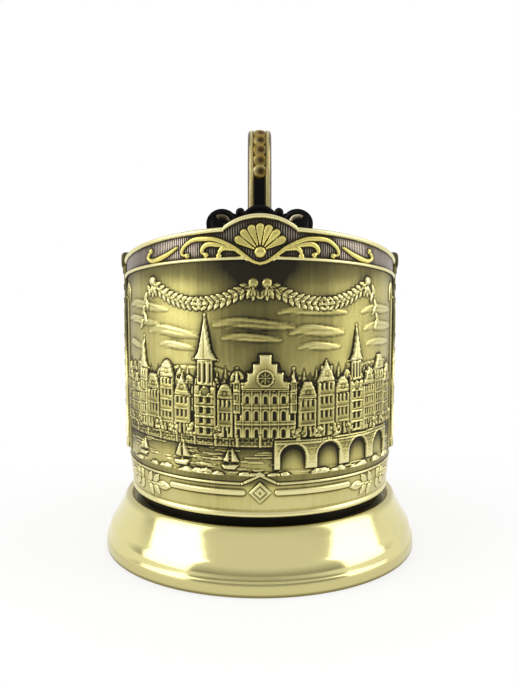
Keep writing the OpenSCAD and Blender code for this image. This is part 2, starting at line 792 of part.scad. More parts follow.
foot();
neck_ring();
floor_plate();
floor_rivets();
sleeve();
lower_bead();
border_bars();
border_lozenges();
border_leaves();
front_relief();
back_relief();
rim_band();
rim_bead();
band_bead();
shell_palmette();
front_scrolls();
back_scrolls();
side_panel_left();
side_panel_right();
handle_plate();
scroll_crest();
handle();
handle_scales();
upper_rivets();
lower_rivets();
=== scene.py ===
"""Tea glass holder: the dressed pieces, their metals and a pale studio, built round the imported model."""
from math import atan2, cos, pi, radians, sin, sqrt

import bmesh
import bpy
import numpy as np
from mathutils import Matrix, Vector


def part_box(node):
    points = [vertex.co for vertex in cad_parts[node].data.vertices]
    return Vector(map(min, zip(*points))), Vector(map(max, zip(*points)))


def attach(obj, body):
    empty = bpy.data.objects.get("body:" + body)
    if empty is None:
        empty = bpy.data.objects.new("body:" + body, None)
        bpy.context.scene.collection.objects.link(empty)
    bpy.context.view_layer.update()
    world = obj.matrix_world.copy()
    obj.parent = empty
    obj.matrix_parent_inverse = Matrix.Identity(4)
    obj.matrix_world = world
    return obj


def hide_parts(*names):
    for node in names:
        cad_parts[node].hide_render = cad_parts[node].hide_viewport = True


bl_info = {
    "name": "Tea Glass Holder",
    "version": (1, 0, 0),
    "blender": (4, 5, 0),
    "location": "View3D > Sidebar > Tea Glass Holder",
    "description": "Relief sleeve, scrolled rim, spun foot and looped handle of a tea glass holder",
    "category": "Object",
}

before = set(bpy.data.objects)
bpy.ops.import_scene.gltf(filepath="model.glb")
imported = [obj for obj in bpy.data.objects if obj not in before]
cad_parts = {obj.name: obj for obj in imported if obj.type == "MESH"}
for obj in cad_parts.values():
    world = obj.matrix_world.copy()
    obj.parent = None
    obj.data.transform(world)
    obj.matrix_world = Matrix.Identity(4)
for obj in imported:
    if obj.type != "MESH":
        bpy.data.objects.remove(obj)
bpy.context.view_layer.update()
BODY = "root"
MM = 0.001


def cad_size(node, corner, axis):
    """One coordinate of a CAD node's box, in metres."""
    return round(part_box(node)[corner][axis], 6)


# Settings


def length(name, description, default):
    return bpy.props.FloatProperty(name=name, description=description, default=default,
                                   min=0.0, unit="LENGTH", precision=5)


def colour(name, description, default):
    return bpy.props.FloatVectorProperty(name=name, description=description, default=default,
                                         size=3, min=0.0, max=1.0, subtype="COLOR")


class HolderSizes(bpy.types.PropertyGroup):
    """Sizes of the holder, in metres."""
    wall_radius: length("Wall radius", "Outside of the plain sleeve", 0.0352)
    wall_foot: length("Wall foot", "Height of the sleeve's lower edge", cad_size("sleeve", 0, 2))
    relief: length("Relief", "Highest the relief stands out of the wall", 0.00085)
    rim_height: length("Rim height", "Height of the rim at the front", 0.0855)
    rim_drop: length("Rim drop", "How far the rim comes down to the sides", 0.0095)
    band_height: length("Band height", "Height of the rim band at the front", 0.0077)
    band_side: length("Band side height", "Height of the rim band at the sides", 0.0043)
    bead_radius: length("Bead radius", "Outside of the beads along the band", 0.0362)
    crest_rise: length("Crest rise", "Height of the crest over the rim", 0.0029)
    crest_half: length("Crest half width", "Half width of the crest", 0.0085)
    foot_radius: length("Foot radius", "Largest radius of the foot", cad_size("foot", 1, 0))
    foot_height: length("Foot height", "Height of the foot's ledge", 0.014)
    neck_radius: length("Neck radius", "Outside of the neck ring", cad_size("neck_ring", 1, 0))
    handle_width: length("Handle width", "Width of the handle", 0.0076)
    handle_depth: length("Handle depth", "Thickness of the handle", 0.0056)


class HolderColours(bpy.types.PropertyGroup):
    """Colours of its metals."""
    bright: colour("Bright brass", "Brass rubbed bright on the high relief", (0.80, 0.73, 0.37))
    middle: colour("Aged brass", "Brass on the open wall", (0.50, 0.44, 0.155))
    dark: colour("Dark patina", "Patina in the recesses", (0.016, 0.013, 0.005))
    ground: colour("Band ground", "Patina on the ground of the rim band", (0.46, 0.385, 0.315))
    polished: colour("Polished brass", "Spun foot", (0.75, 0.68, 0.315))
    handle: colour("Handle brass", "Warm brass of the handle", (0.55, 0.47, 0.21))
    # On the neck ring this black is painted shade for the dark gap under the sleeve.
    black: colour("Black", "Neck ring and scroll crest", (0.004, 0.004, 0.004))


def sizes():
    return bpy.context.scene.holder_sizes


def colours():
    return bpy.context.scene.holder_colours


def mm(value):
    """A setting in metres as millimetres."""
    return value / MM


# Relief drawn as heights over a grid


def smoothstep(low, high, x):
    """Smooth step from 0 at low to 1 at high."""
    t = np.clip((x - low) / (high - low), 0.0, 1.0)
    return t * t * (3.0 - 2.0 * t)


def path_distance(u, z, points):
    """Distance to a line of points, and how far along it the nearest place lies, from 0 to 1."""
    points = np.asarray(points, float)
    steps = np.hypot(*np.diff(points, axis=0).T)
    runs = np.concatenate(([0.0], np.cumsum(steps))) / max(steps.sum(), 1e-9)
    best = np.full(u.shape, 1e9)
    share = np.zeros(u.shape)
    for (a, b, s0, s1) in zip(points[:-1], points[1:], runs[:-1], runs[1:]):
        d = b - a
        t = np.clip(((u - a[0]) * d[0] + (z - a[1]) * d[1]) / max(d @ d, 1e-12), 0.0, 1.0)
        dist = np.hypot(u - a[0] - t * d[0], z - a[1] - t * d[1])
        nearer = dist < best
        best = np.where(nearer, dist, best)
        share = np.where(nearer, s0 + t * (s1 - s0), share)
    return best, share


def inside_distance(u, z, points):
    """Distance to an outline, positive inside it."""
    points = np.asarray(points, float)
    ring = np.vstack((points, points[:1]))
    edge, _ = path_distance(u, z, ring)
    inside = np.zeros(u.shape, bool)
    for (x0, y0), (x1, y1) in zip(ring[:-1], ring[1:]):
        crosses = (y0 > z) != (y1 > z)
        inside ^= crosses & (u < (x1 - x0) * (z - y0) / (y1 - y0 + 1e-12) + x0)
    return np.where(inside, edge, -edge)


def curve(points, steps=6):
    """Smooth curve through the points."""
    p = [np.asarray(q, float) for q in points]
    out = []
    for i in range(len(p) - 1):
        a, b, c, d = p[max(i - 1, 0)], p[i], p[i + 1], p[min(i + 2, len(p) - 1)]
        for k in range(steps):
            t = k / steps
            out.append(0.5 * (2 * b + (c - a) * t + (2 * a - 5 * b + 4 * c - d) * t * t
                              + (3 * b - a - 3 * c + d) * t ** 3))
    return out + [p[-1]]


def arc(cx, cz, r, start, stop, n=16, squash=1.0):
    """Points along an arc, squashed to part of an ellipse."""
    return [(cx + r * cos(radians(a)), cz + squash * r * sin(radians(a)))
            for a in np.linspace(start, stop, n)]


class Relief:
    """Heights in millimetres over arc length u and height z; gilt marks what is rubbed bright."""

    def __init__(self, u, z, ground=0.0):
        self.u, self.z = u, z
        self.h = np.full(u.shape, float(ground))
        self.gilt = np.zeros(u.shape)

    def window(self, points, pad):
        """The columns that a drawing over these points can reach."""
        low, high = np.min(points, axis=0)[0] - pad, np.max(points, axis=0)[0] + pad
        return slice(*np.searchsorted(self.u[0], (low, high)))

    def plate(self, points, top, bevel=0.3, rim=0.05, shade=0.1, gilt=None):
        """A flat piece laid over what is there, with a raised rim and a shaded line round it."""
        w = self.window(points, 1.2)
        h = self.h[:, w]
        d = inside_distance(self.u[:, w], self.z[:, w], points)
        flat = top + rim * np.exp(-((d - 0.8 * bevel) / (0.45 * bevel)) ** 2)
        s = smoothstep(0.0, bevel, d)
        outside = h - shade * np.exp(-(d / 0.3) ** 2) * (d <= 0)
        self.h[:, w] = np.where(d > 0, h + (flat - h) * s, outside)
        if gilt is not None:
            self.gilt[:, w] = np.where(d > 0, gilt, self.gilt[:, w])

    def stroke(self, points, width, height, ends=0.35, shade=0.05, gilt=None, steps=6, laid=False):
        """A rounded ridge along a smooth line, thinner towards its ends; a laid one covers, others add."""
        line = curve(points, steps)
        w = self.window(line, width + 0.8)
        d, s = path_distance(self.u[:, w], self.z[:, w], line)
        half = width / 2 * (ends + (1 - ends) * np.sin(pi * np.clip(s * 0.94 + 0.03, 0, 1)))
        ridge = height * np.sqrt(np.clip(1 - (d / half) ** 2, 0, 1))
        groove = shade * np.exp(-((d - half) / 0.22) ** 2) * (d > half)
        h = self.h[:, w]
        self.h[:, w] = np.where(d < half, np.maximum(h, ridge), h - groove) if laid else h + ridge - groove
        if gilt is not None:
            self.gilt[:, w] = np.maximum(self.gilt[:, w], gilt * (d < half))

    def bar(self, points, width, height, shade=0.05):
        """An even ridge along straight lines."""
        self.stroke(points, width, height, ends=1.0, shade=shade, steps=1)

    def cut(self, points, width, depth):
        """A fine groove along a line."""
        w = self.window(points, width + 0.3)
        d, _ = path_distance(self.u[:, w], self.z[:, w], points)
        self.h[:, w] -= depth * np.exp(-(d / (0.5 * width)) ** 2)

    def dome(self, cu, cz, ru, rz, height, base=None, shade=0.1, gilt=None):
        """A rounded lump laid over what is there."""
        w = self.window([(cu - ru, cz), (cu + ru, cz)], 0.8)
        u, z, h = self.u[:, w], self.z[:, w], self.h[:, w]
        q = np.hypot((u - cu) / ru, (z - cz) / rz)
        base = h if base is None else base
        lump = base + height * np.sqrt(np.clip(1 - q * q, 0, 1))
        ring = shade * np.exp(-((q - 1) * min(ru, rz) / 0.25) ** 2) * (q >= 1)
        self.h[:, w] = np.where(q < 1, np.maximum(lump, h - 0.2), h - ring)
        if gilt is not None:
            self.gilt[:, w] = np.where(q < 1, gilt, self.gilt[:, w])

    def pattern(self, low, high, depth, pitch_u, pitch_z, fill_u=0.45, fill_z=0.55, slant=0.0):
        """Rows of small recesses in a rectangle, such as windows, bricks or tiles."""
        w = self.window([low, high], 0.0)
        u, z = self.u[:, w], self.z[:, w]
        inside = (u > low[0]) & (u < high[0]) & (z > low[1]) & (z < high[1])
        rows = (z - low[1]) / pitch_z
        fu = np.abs(((u - low[0]) / pitch_u + slant * np.floor(rows)) % 1.0 - 0.5) * 2
        fz = np.abs(rows % 1.0 - 0.5) * 2
        hole = smoothstep(fill_u + 0.15, fill_u - 0.15, fu) * smoothstep(fill_z + 0.15, fill_z - 0.15, fz)
        self.h[:, w] -= depth * hole * inside


def blurred(a, reach):
    """A height map softened over a number of cells."""
    n = max(1, int(3 * reach))
    k = np.exp(-0.5 * (np.arange(-n, n + 1) / reach) ** 2)
    k /= k.sum()
    for axis in (0, 1):
        pads = [(n, n) if i == axis else (0, 0) for i in (0, 1)]
        padded = np.pad(a, pads, mode="edge")
        a = sum(k[j] * np.take(padded, range(j, j + a.shape[axis]), axis=axis) for j in range(2 * n + 1))
    return a


# Meshes


def mark(mesh, attributes):
    """Float attributes on a mesh's points, each a list of values or one for all."""
    for key, values in attributes.items():
        layer = mesh.attributes.new(key, "FLOAT", "POINT")
        every = (np.ones(len(mesh.vertices)) * np.ravel(values)).astype(np.float32)
        layer.data.foreach_set("value", every)


def weld(mesh):
    """Joins points that coincide, such as poles and seams, and turns the faces outwards."""
    work = bmesh.new()
    work.from_mesh(mesh)
    bmesh.ops.remove_doubles(work, verts=work.verts, dist=1e-7)
    bmesh.ops.recalc_face_normals(work, faces=work.faces)
    work.to_mesh(mesh)
    work.free()


def built_mesh(name, verts, faces, crease=None):
    """A smooth mesh from points and faces; with a crease angle it is welded and sharper turns stay sharp."""
    mesh = bpy.data.meshes.new(name)
    mesh.from_pydata(verts, [], faces)
    if crease:
        weld(mesh)
    mesh.polygons.foreach_set("use_smooth", [True] * len(mesh.polygons))
    if crease:
        mesh.set_sharp_from_angle(angle=radians(crease))
    return mesh


def linked(name, data):
    """A new object in the scene."""
    obj = bpy.data.objects.new(name, data)
    bpy.context.collection.objects.link(obj)
    return obj


def dress(name, mesh, material, replaced):
    """Makes a finished mesh a piece that rides on the body, stands for some nodes and has a finish."""
    mesh.materials.clear()
    mesh.materials.append(material)
    mesh.update()
    obj = linked(name, mesh)
    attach(obj, BODY)
    if replaced:
        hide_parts(*replaced)


def grid_shell(name, theta, z, outer, inner, replaced, worn, gilt=0.0, ground=0.0):
    """A closed brass shell over a grid: outer radii in front, inner radii on the lowest and top rows."""
    rows, cols = z.shape
    s, c = np.sin(theta), -np.cos(theta)
    inner = np.broadcast_to(inner, z.shape)

    def place(radius, height):
        return np.stack((radius * s, radius * c, height), axis=-1) * MM

    verts = np.concatenate((place(outer, z).reshape(-1, 3), place(inner[0], z[0]), place(inner[-1], z[-1])))
    low, top, last = rows * cols, (rows - 1) * cols, cols - 1
    high = low + cols
    faces = []
    for a in range(0, top, cols):
        faces += [(a + j, a + j + 1, a + cols + j + 1, a + cols + j) for j in range(last)]
    for j in range(last):
        for a, b in ((top, high), (high, low), (low, 0)):
            faces.append((a + j, a + j + 1, b + j + 1, b + j))
    faces.append((low, *range(0, low, cols), high))
    faces.append((low + last, high + last, *range(low - 1, 0, -cols)))
    mesh = built_mesh(name, verts.tolist(), faces)
    fields = {"worn": worn, "gilt": gilt, "ground": ground}
    for key, values in fields.items():
        values = np.broadcast_to(values, z.shape)
        fields[key] = np.concatenate((values.ravel(), values[0], values[-1]))
    mark(mesh, fields)
    dress(name, mesh, relief_brass(), replaced)


# Motifs of the relief, in millimetres of arc length and height


FLOOR_RISE, BAY_WIDTH = 3.0, 1.35
HALL_BAYS = 7
# Foot and height of the hall's rows of arches over its ground.
HALL_ARCHES = ((0.0, 2.6), (4.0, 2.9), (8.0, 2.4))
STEPS_ON_GABLE = 4
EAVES_OVER = 0.3


def box_outline(left, low, right, high):
    return [(left, low), (right, low), (right, high), (left, high)]


def roof_outline(kind, left, right, z, rise):
    """Outline of a roof over the eaves at height z."""
    mid, w = (left + right) / 2, right - left
    if kind == "stepped":
        steps = STEPS_ON_GABLE
        side = [(right - k * w / (2 * steps), z + (k + s) * rise / steps)
                for k in range(steps) for s in (0, 1)]
        return [(left, z), (right, z)] + side + [(2 * mid - a, b) for a, b in reversed(side)]
    tops = {"hip": [(right - 0.28 * w, z + rise), (left + 0.28 * w, z + rise)],
            "arched": arc(mid, z, w / 2, 0, 180, 14, rise / (w / 2)),
            "gable": [(mid, z + rise)]}
    return [(left - EAVES_OVER, z), (right + EAVES_OVER, z)] + tops[kind]


def house(r, mid, w, low, eaves, peak, roof, top):
    """A house front with windows, string courses, corner strips, a door and a roof with chimneys."""
    left, right, rise = mid - w / 2, mid + w / 2, peak - eaves
    floors = max(2, round((eaves - low) / FLOOR_RISE))
    bays = max(2, round(w / BAY_WIDTH))
    floor = (eaves - low) / floors
    for side in (-0.24, 0.3):
        r.plate(box_outline(mid + side * w - 0.3, eaves, mid + side * w + 0.3, eaves + 0.72 * rise), top,
                bevel=0.2, shade=0.1)
    r.plate(box_outline(left, low, right, eaves), top, bevel=0.28, shade=0.22)
    r.pattern((left + 0.1 * w, low + 0.16 * floor), (right - 0.1 * w, eaves - 0.08 * floor),
              0.26, 0.8 * w / bays, floor, fill_u=0.46, fill_z=0.5)
    for k in range(1, floors):
        z = low + k * floor
        r.bar([(left + 0.1, z), (right - 0.1, z)], 0.36, 0.09, 0.04)
    for u in (left + 0.22, right - 0.22):
        r.bar([(u, low), (u, eaves)], 0.34, 0.08, 0.02)
    r.plate(box_outline(mid - 0.55, low, mid + 0.55, low + 0.62 * floor) + [(mid, low + 0.85 * floor)],
            top - 0.3, bevel=0.2, rim=0.0, shade=-0.06)
    r.plate(roof_outline(roof, left, right, eaves, rise), top + 0.05, bevel=0.32, rim=0.1, shade=0.22)
    tiles = 3 if roof != "stepped" else 1
    for k in range(1, tiles + 1):
        z, half = eaves + k * rise / (tiles + 1), w / 2 * (1 - k / (tiles + 1.6))
        r.cut([(mid - half, z), (mid + half, z)], 0.26, 0.1)
    r.dome(mid, eaves + 0.36 * rise, 0.5, 0.5, 0.06, base=top - 0.06, shade=0.12)
    r.bar([(left - 0.3, eaves), (right + 0.3, eaves)], 0.55, 0.16, 0.12)


def hall(r, mid, w, low, eaves, peak, top):
    """A broad hall: arcade below, tall windows, a stepped gable with a round window, corner turrets."""
    left, right, rise = mid - w / 2, mid + w / 2, peak - eaves
    r.plate(box_outline(left, low, right, eaves), top, bevel=0.3, shade=0.26)
    for k in range(HALL_BAYS):
        u, strip = left + w * (k + 0.5) / HALL_BAYS, left + w * k / HALL_BAYS
        for up, size in HALL_ARCHES:
            z = low + up + 0.3
            r.plate([(u - 0.55, z), (u + 0.55, z)] + arc(u, z + size - 0.9, 0.55, 0, 180, 7), top - 0.3,
                    bevel=0.22, rim=0.0, shade=-0.08)
        if k:
            r.bar([(strip, low), (strip, eaves)], 0.36, 0.1)
    for z in (low + 3.6, low + 7.6):
        r.bar([(left, z), (right, z)], 0.5, 0.13, 0.08)
    r.plate(roof_outline("stepped", left + 1.6, right - 1.6, eaves, rise), top + 0.06,
            bevel=0.32, rim=0.12, shade=0.26)
    eye = eaves + 0.34 * rise
    r.dome(mid, eye, 1.75, 1.75, 0.08, base=top - 0.12)
    r.bar(arc(mid, eye, 1.8, 0, 360, 24), 0.5, 0.2)
    for spoke in range(0, 180, 45):
        r.bar(arc(mid, eye, 1.5, spoke + 180, spoke, 2), 0.26, 0.1)
    for side in (-1, 1):
        tower(r, mid + side * (w / 2 - 0.7), low + 6, 1.7, eaves + 1.6, top + 0.08, 3.4, floors=3)
    r.bar([(left - 0.3, eaves), (right + 0.3, eaves)], 0.7, 0.2, 0.14)
    r.pattern((left, eaves - 0.75), (right, eaves - 0.25), 0.18, 0.7, 0.5, 0.4, 0.9)


def tower(r, mid, low, w, eaves, top, spire, floors=5, lantern=False):
    """A tall tower with galleries, tall windows, a ribbed spire and a ball on its tip."""
    left, right = mid - w / 2, mid + w / 2
    shaft = eaves - (1.1 * w if lantern else 0)
    r.plate(box_outline(left, low, right, shaft), top, bevel=0.32, shade=0.26)
    step = (shaft - low) / floors
    r.pattern((left + 0.16 * w, low + 0.16 * step), (right - 0.16 * w, shaft), 0.3, 0.34 * w, step,
              fill_u=0.52, fill_z=0.62)
    for u in (left + 0.25, right - 0.25):
        r.bar([(u, low), (u, shaft)], 0.4, 0.12, 0.04)
    for k in range(1, floors + 1):
        z = low + k * step
        over = 0.35 if k % 2 else 0.15
        r.bar([(left - over, z), (right + over, z)], 0.5, 0.17, 0.1)
    if lantern:
        half = 0.36 * w
        for u in (mid - w * 0.42, mid + w * 0.42):
            r.plate([(u - 0.4, shaft), (u + 0.4, shaft), (u, shaft + 2.3)], top, bevel=0.22, shade=0.12)
        r.plate(box_outline(mid - half, shaft, mid + half, eaves), top - 0.04, bevel=0.22, shade=0.18)
        r.pattern((mid - half, shaft), (mid + half, eaves - 0.4), 0.3, half * 0.66, eaves - shaft, 0.5, 0.75)
        r.dome(mid, shaft - 1.5, 1.15, 1.15, 0.06, base=top - 0.1)
        r.bar(arc(mid, shaft - 1.5, 1.2, 0, 360, 18), 0.4, 0.18)
        left, right = mid - 0.46 * w, mid + 0.46 * w
    tip, bend = eaves + spire, eaves + 0.2 * spire
    roof = [(left - 0.35, eaves), (right + 0.35, eaves), (mid + 0.3 * w, bend),
            (mid + 0.12, tip), (mid - 0.12, tip), (mid - 0.3 * w, bend)]
    r.plate(roof, top + 0.05, bevel=0.3, rim=0.12, shade=0.26)
    for side in (-0.36, 0.0, 0.36):
        r.cut([(mid + side * w, eaves + 0.3), (mid, eaves + 0.9 * spire)], 0.26, 0.14)
    r.bar([(left - 0.5, eaves), (right + 0.5, eaves)], 0.6, 0.2, 0.12)
    r.dome(mid, tip, 0.42, 0.42, 0.3)


def round_tree(r, mid, low, reach, top, rng):
    """A leafy tree: a heap of small lumps over a trunk."""
    r.stroke([(mid, low - 1.2 * reach), (mid, low)], 0.5, 0.2, ends=0.9, steps=1)
    for _ in range(16):
        a, d = rng.uniform(0, 2 * pi), reach * sqrt(rng.uniform(0, 1))
        size = reach * rng.uniform(0.25, 0.42)
        r.dome(mid + 0.9 * d * cos(a), low + 0.7 * reach + d * sin(a), size, size, 0.22,
               base=top * rng.uniform(0.6, 1.0), shade=0.07)


def pine(r, mid, low, height, top):
    """A pine of stacked skirts."""
    for k in range(5):
        z, half = low + height * k / 6, 0.27 * height * (1 - k / 6)
        r.plate([(mid - half, z), (mid, z + 0.18 * height * 0.4), (mid + half, z), (mid, z + 0.42 * height)],
                top + 0.03 * k, bevel=0.3, rim=0.05, shade=0.1)


def cloud(r, left, right, z, width, lift):
    """A long flat streak of cloud with a fine bright edge over it and a fainter one below."""
    run = right - left
    line = [(left, z), (left + 0.25 * run, z + lift), (left + 0.6 * run, z + 0.4 * lift), (right, z - 0.3)]
    before = r.h.copy()
    r.stroke(line, 1.5 * width, 0.13, ends=0.15, shade=0.07)
    r.stroke([(u, h + 0.42 * width) for u, h in line], 0.6, 0.13, ends=0.2, shade=0.0)
    r.stroke([(u + 0.15 * run, h - 0.4 * width) for u, h in line[:3]], 0.6, 0.1, ends=0.2, shade=0.0)
    r.h = before + blurred(r.h - before, 0.85)


def boat(r, mid, low, size, top):
    """A sailing boat with a curved hull and two sails."""
    def at(u, z, off=0.0):
        return (mid + u * size + off, low + z * size)

    mast = 0.05
    r.plate([at(mast, 0.8, 0.15), at(mast, 3.0, 0.15), at(mast + 1.15, 0.9)], top - 0.05, bevel=0.5, rim=0.0)
    r.plate([at(mast, 0.8, -0.15), at(mast - 0.9, 0.9), at(mast, 2.7, -0.15)], top, bevel=0.5, rim=0.0)
    r.stroke([at(mast, 0.4), at(mast, 3.2)], 0.34, 0.2, ends=0.8, steps=1)
    hull = [at(-1, 0.5), at(-0.7, 0), at(0.65, 0), at(1.1, 0.6)]
    r.plate(hull, top + 0.08, bevel=0.35, rim=0.06, shade=0.16)
    for k in (0.35, 0.65):
        r.cut([at(-0.85, k * 0.5), at(0.95, k * 0.55 + 0.05)], 0.26, 0.1)


def bridge(r, left, right, water, deck, spans, top):
    """A stone bridge: a coped deck over round arches on piers."""
    r.plate(box_outline(left, water, right, deck), top, bevel=0.3, shade=0.18)
    r.pattern((left, water), (right, deck), 0.06, 1.3, 0.62, 0.9, 0.8, slant=0.5)
    span = (right - left) / spans
    for k in range(spans):
        mid, half = left + (k + 0.5) * span, 0.36 * span
        spring = water + 0.42 * (deck - water)
        arch = [(mid - half, water - 0.2), (mid + half, water - 0.2)]
        arch += arc(mid, spring, half, 0, 180, 12, 0.95)
        r.plate(arch, 0.06, bevel=0.3, rim=-0.02, shade=-0.1)
        r.stroke(arc(mid, spring, half + 0.25, 4, 176, 12, 0.95), 0.42, 0.13, ends=0.9, steps=2)
    r.bar([(left, deck), (right, deck)], 0.75, 0.2, 0.12)
    r.bar([(left, deck - 0.9), (right, deck - 0.9)], 0.4, 0.1, 0.04)
    r.pattern((left, deck - 0.75), (right, deck - 0.25), 0.16, 0.75, 0.5, 0.3, 0.9)


def leaf(r, u, z, angle, size, height, wide=0.42):
    """A pointed leaf with a groove along its middle."""
    root, middle, groove, tip = ((u + s * size * cos(angle), z + s * size * sin(angle))
                                 for s in (0, 0.5, 0.75, 1))
    r.stroke([root, middle, tip], wide * size, height, ends=0.1, shade=0.08, steps=2)
    r.cut([root, groove], 0.22, 0.1)


def swag(r, left, right, high, sag, leaves=19):
    """A hanging swag of leaves between two knots."""
    for k in range(leaves):
        t = (k + 0.5) / leaves
        u, z = left + t * (right - left), high - sag * 4 * t * (1 - t)
        along = atan2(-sag * 4 * (1 - 2 * t), right - left) + (pi if t > 0.5 else 0.0)
        for turn in (-0.75, 0.75, 0.0):
            leaf(r, u, z, along + turn, 2.3, 0.3)
    for u in (left, right):
        r.dome(u, high + 0.3, 1.1, 1.1, 0.4, base=0.3)
        for turn in (-0.5, 0.0, 0.5):
            leaf(r, u, high - 0.6, -pi / 2 + turn, 3.0, 0.3)


def ridge_line(left, right, low, rise, waves, rng):
    """Outline of rolling hills down to the ground at height low."""
    u = np.linspace(left, right, 60)
    z = low + rise * (0.6 + 0.4 * sum(np.sin(u * k * waves + rng.uniform(0, 6)) / k for k in (1, 2, 3)))
    return [(left, low - 14)] + list(zip(u, z)) + [(right, low - 14)]


def far_row(r, left, right, low, top, rng, tall):
    """Roofs of a farther row, seen over the nearer one."""
    u = left
    while u < right - 2.0:
        w = min(rng.uniform(2.4, 4.0), right - u)
        eaves = low + tall * rng.uniform(0.55, 1.0)
        roof = ("gable", "hip", "stepped", "arched")[rng.integers(4)]
        house(r, u + w / 2, w - 0.1, low, eaves, eaves + w * rng.uniform(0.4, 0.8), roof, top)
        u += w


def ripples(r, left, right, low, high, rng, count):
    """Short waves strewn over the water."""
    for _ in range(count):
        u, z = rng.uniform(left, right), rng.uniform(low, high)
        half = rng.uniform(1.0, 3.2)
        r.stroke([(u - half, z), (u, z + rng.uniform(-0.15, 0.25)), (u + half, z)], 0.42, 0.12,
                 ends=0.2, shade=0.05, steps=2)


def shore(r, left, right, low, rng, count, top):
    """Boulders and bushes along the bottom of the picture."""
    for _ in range(count):
        u = rng.uniform(left, right)
        size = rng.uniform(0.7, 1.7)
        r.dome(u, low + rng.uniform(0, 1.3), size, 0.62 * size, 0.3, base=top * rng.uniform(0.55, 1),
               shade=0.12)


# Middle, width, eaves, top and roof of each house in the near row.
TOWN = ((-42.9, 4.9, 47, 51.8, "gable"), (-37.8, 4.8, 44.5, 49.2, "stepped"), (-33.5, 3.3, 51, 59, "tower"),
        (-29.2, 4.7, 46.2, 50, "hip"), (-24.3, 4.6, 49.6, 53.8, "arched"), (-19.5, 4.6, 45.6, 51, "gable"),
        (-13.2, 5.6, 54.5, 65, "tower"), (-8.25, 4.0, 45.5, 49, "arched"), (1.2, 14.6, 47.6, 56, "hall"),
        (11.3, 4.6, 45.4, 49.4, "hip"), (16.1, 4.6, 49.2, 54.4, "gable"), (20.7, 4.2, 46.2, 50.2, "arched"),
        (25.3, 4.4, 53.6, 62, "tower"), (30.2, 4.8, 47.2, 52, "gable"), (35.2, 4.7, 50.4, 54.2, "hip"),
        (40.3, 5.0, 46.6, 51.2, "stepped"))
VILLAGE = ((15.5, 4.6, 46, 50.2, "hip"), (20.3, 4.6, 49, 53.8, "gable"), (25.4, 3.6, 52.5, 60, "tower"),
           (30.2, 4.8, 45.6, 50.2, "arched"), (35.1, 4.6, 48.4, 52.6, "gable"),
           (40.0, 4.8, 45.4, 49.6, "stepped"))
# Left end, right end, height, width and lift of each streak of cloud.
CLOUDS = ((-42, -24, 66.0, 1.5, 0.8), (-44, -27, 62.4, 1.3, 0.5), (-31, -15, 60.2, 1.7, 0.9),
          (-27, -16, 57.2, 1.2, 0.5), (-43, -34.5, 56.2, 1.2, 0.6), (-11, 8, 62.6, 1.7, 0.9),
          (-9, 5, 59.6, 1.3, 0.5), (4, 22, 65.6, 1.4, 0.7), (7, 21, 60.8, 1.8, 0.9), (9, 20, 57.4, 1.2, 0.5),
          (27, 43, 65.0, 1.5, 0.8), (28, 44, 60.8, 1.6, 0.7), (29, 42, 57.0, 1.2, 0.5))
# Place and reach of each tree on the quay, place and size of each boat.
QUAY_TREES = ((-40.3, 1.5), (-35.3, 1.4), (-26.7, 1.6), (-21.9, 1.4), (-17.0, 1.5), (-10.2, 1.5), (9.0, 1.6),
              (13.8, 1.4), (18.5, 1.5), (23.0, 1.3), (32.7, 1.5), (37.8, 1.4), (43.2, 1.5))
BOATS = ((-34.3, 1.92), (-19.9, 2.4), (-7.2, 2.04))
VILLAGE_TREES, VILLAGE_BOATS = (13.0, 17.9, 28.0, 32.7, 37.6, 42.6), ((20.0, 2.4), (35.0, 2.0))
TOWN_FOOT, WATER, WATER_FOOT = 36.0, 28.6, 25
FRONT_HALF, BRIDGE_END = 44.6, 3.2
SWAG_IN, SWAG_OUT, SWAG_TOP, SWAG_SAG = 1.6, 29.1, 72.2, 4.6
TAIL_LEAVES, TAIL_U, TAIL_Z = 6, 31.2, 71.5
# Relief of the hills, the far row, the town and what stands before it.
HILLS, FAR, NEAR, NEAREST = 0.14, 0.32, 0.56, 0.62
POSTS, FIRST_POST, POST_PITCH = 9, -42.4, 5.3
WAVES, BOULDERS, BACK_WAVES, BACK_BOULDERS = 120, 84, 50, 36
# Height and both ends of each streak of cloud on the back, the ends as shares of a side.
BACK_CLOUDS = ((67.5, 0.1, 0.6), (64.0, 0.3, 0.95), (60.8, 0.05, 0.55), (57.4, 0.45, 0.95))
BACK_START = 8.5
FRAME_LOW, FRAME_HIGH = 27.6, 71.6
# The double line of the side frame, as offsets and widths, and the arch on it, as offsets and drops.
FRAME_LINES = ((46.9, 0.9), (45.5, 0.45))
FRAME_ARCH = ((46.9, 4), (46.0, 1.6), (44.4, 0.2), (43.2, 1.8), (43.0, 4.6))


def near_row(r, rows, top):
    """The houses, towers and halls of a row, side by side."""
    for mid, w, eaves, peak, roof in rows:
        if roof == "tower":
            tower(r, mid, TOWN_FOOT, w, eaves, top + 0.06, peak - eaves, floors=5, lantern=w > 4)
        elif roof == "hall":
            hall(r, mid, w, TOWN_FOOT, eaves, peak, top + 0.04)
        else:
            house(r, mid, w, TOWN_FOOT, eaves, peak, roof, top)


def side_frame(r, middle, hand):
    """Upright double line at the picture's side, with a pointed arch under the band."""
    for off, width in FRAME_LINES:
        u = middle + hand * off
        r.stroke([(u, FRAME_LOW), (u, (FRAME_LOW + FRAME_HIGH) / 2), (u, FRAME_HIGH - 4)],
                 width, 0.34, ends=0.9, shade=0.14, steps=2)
    r.stroke([(middle + hand * off, FRAME_HIGH - drop) for off, drop in FRAME_ARCH],
             0.9, 0.36, ends=0.5, shade=0.16)


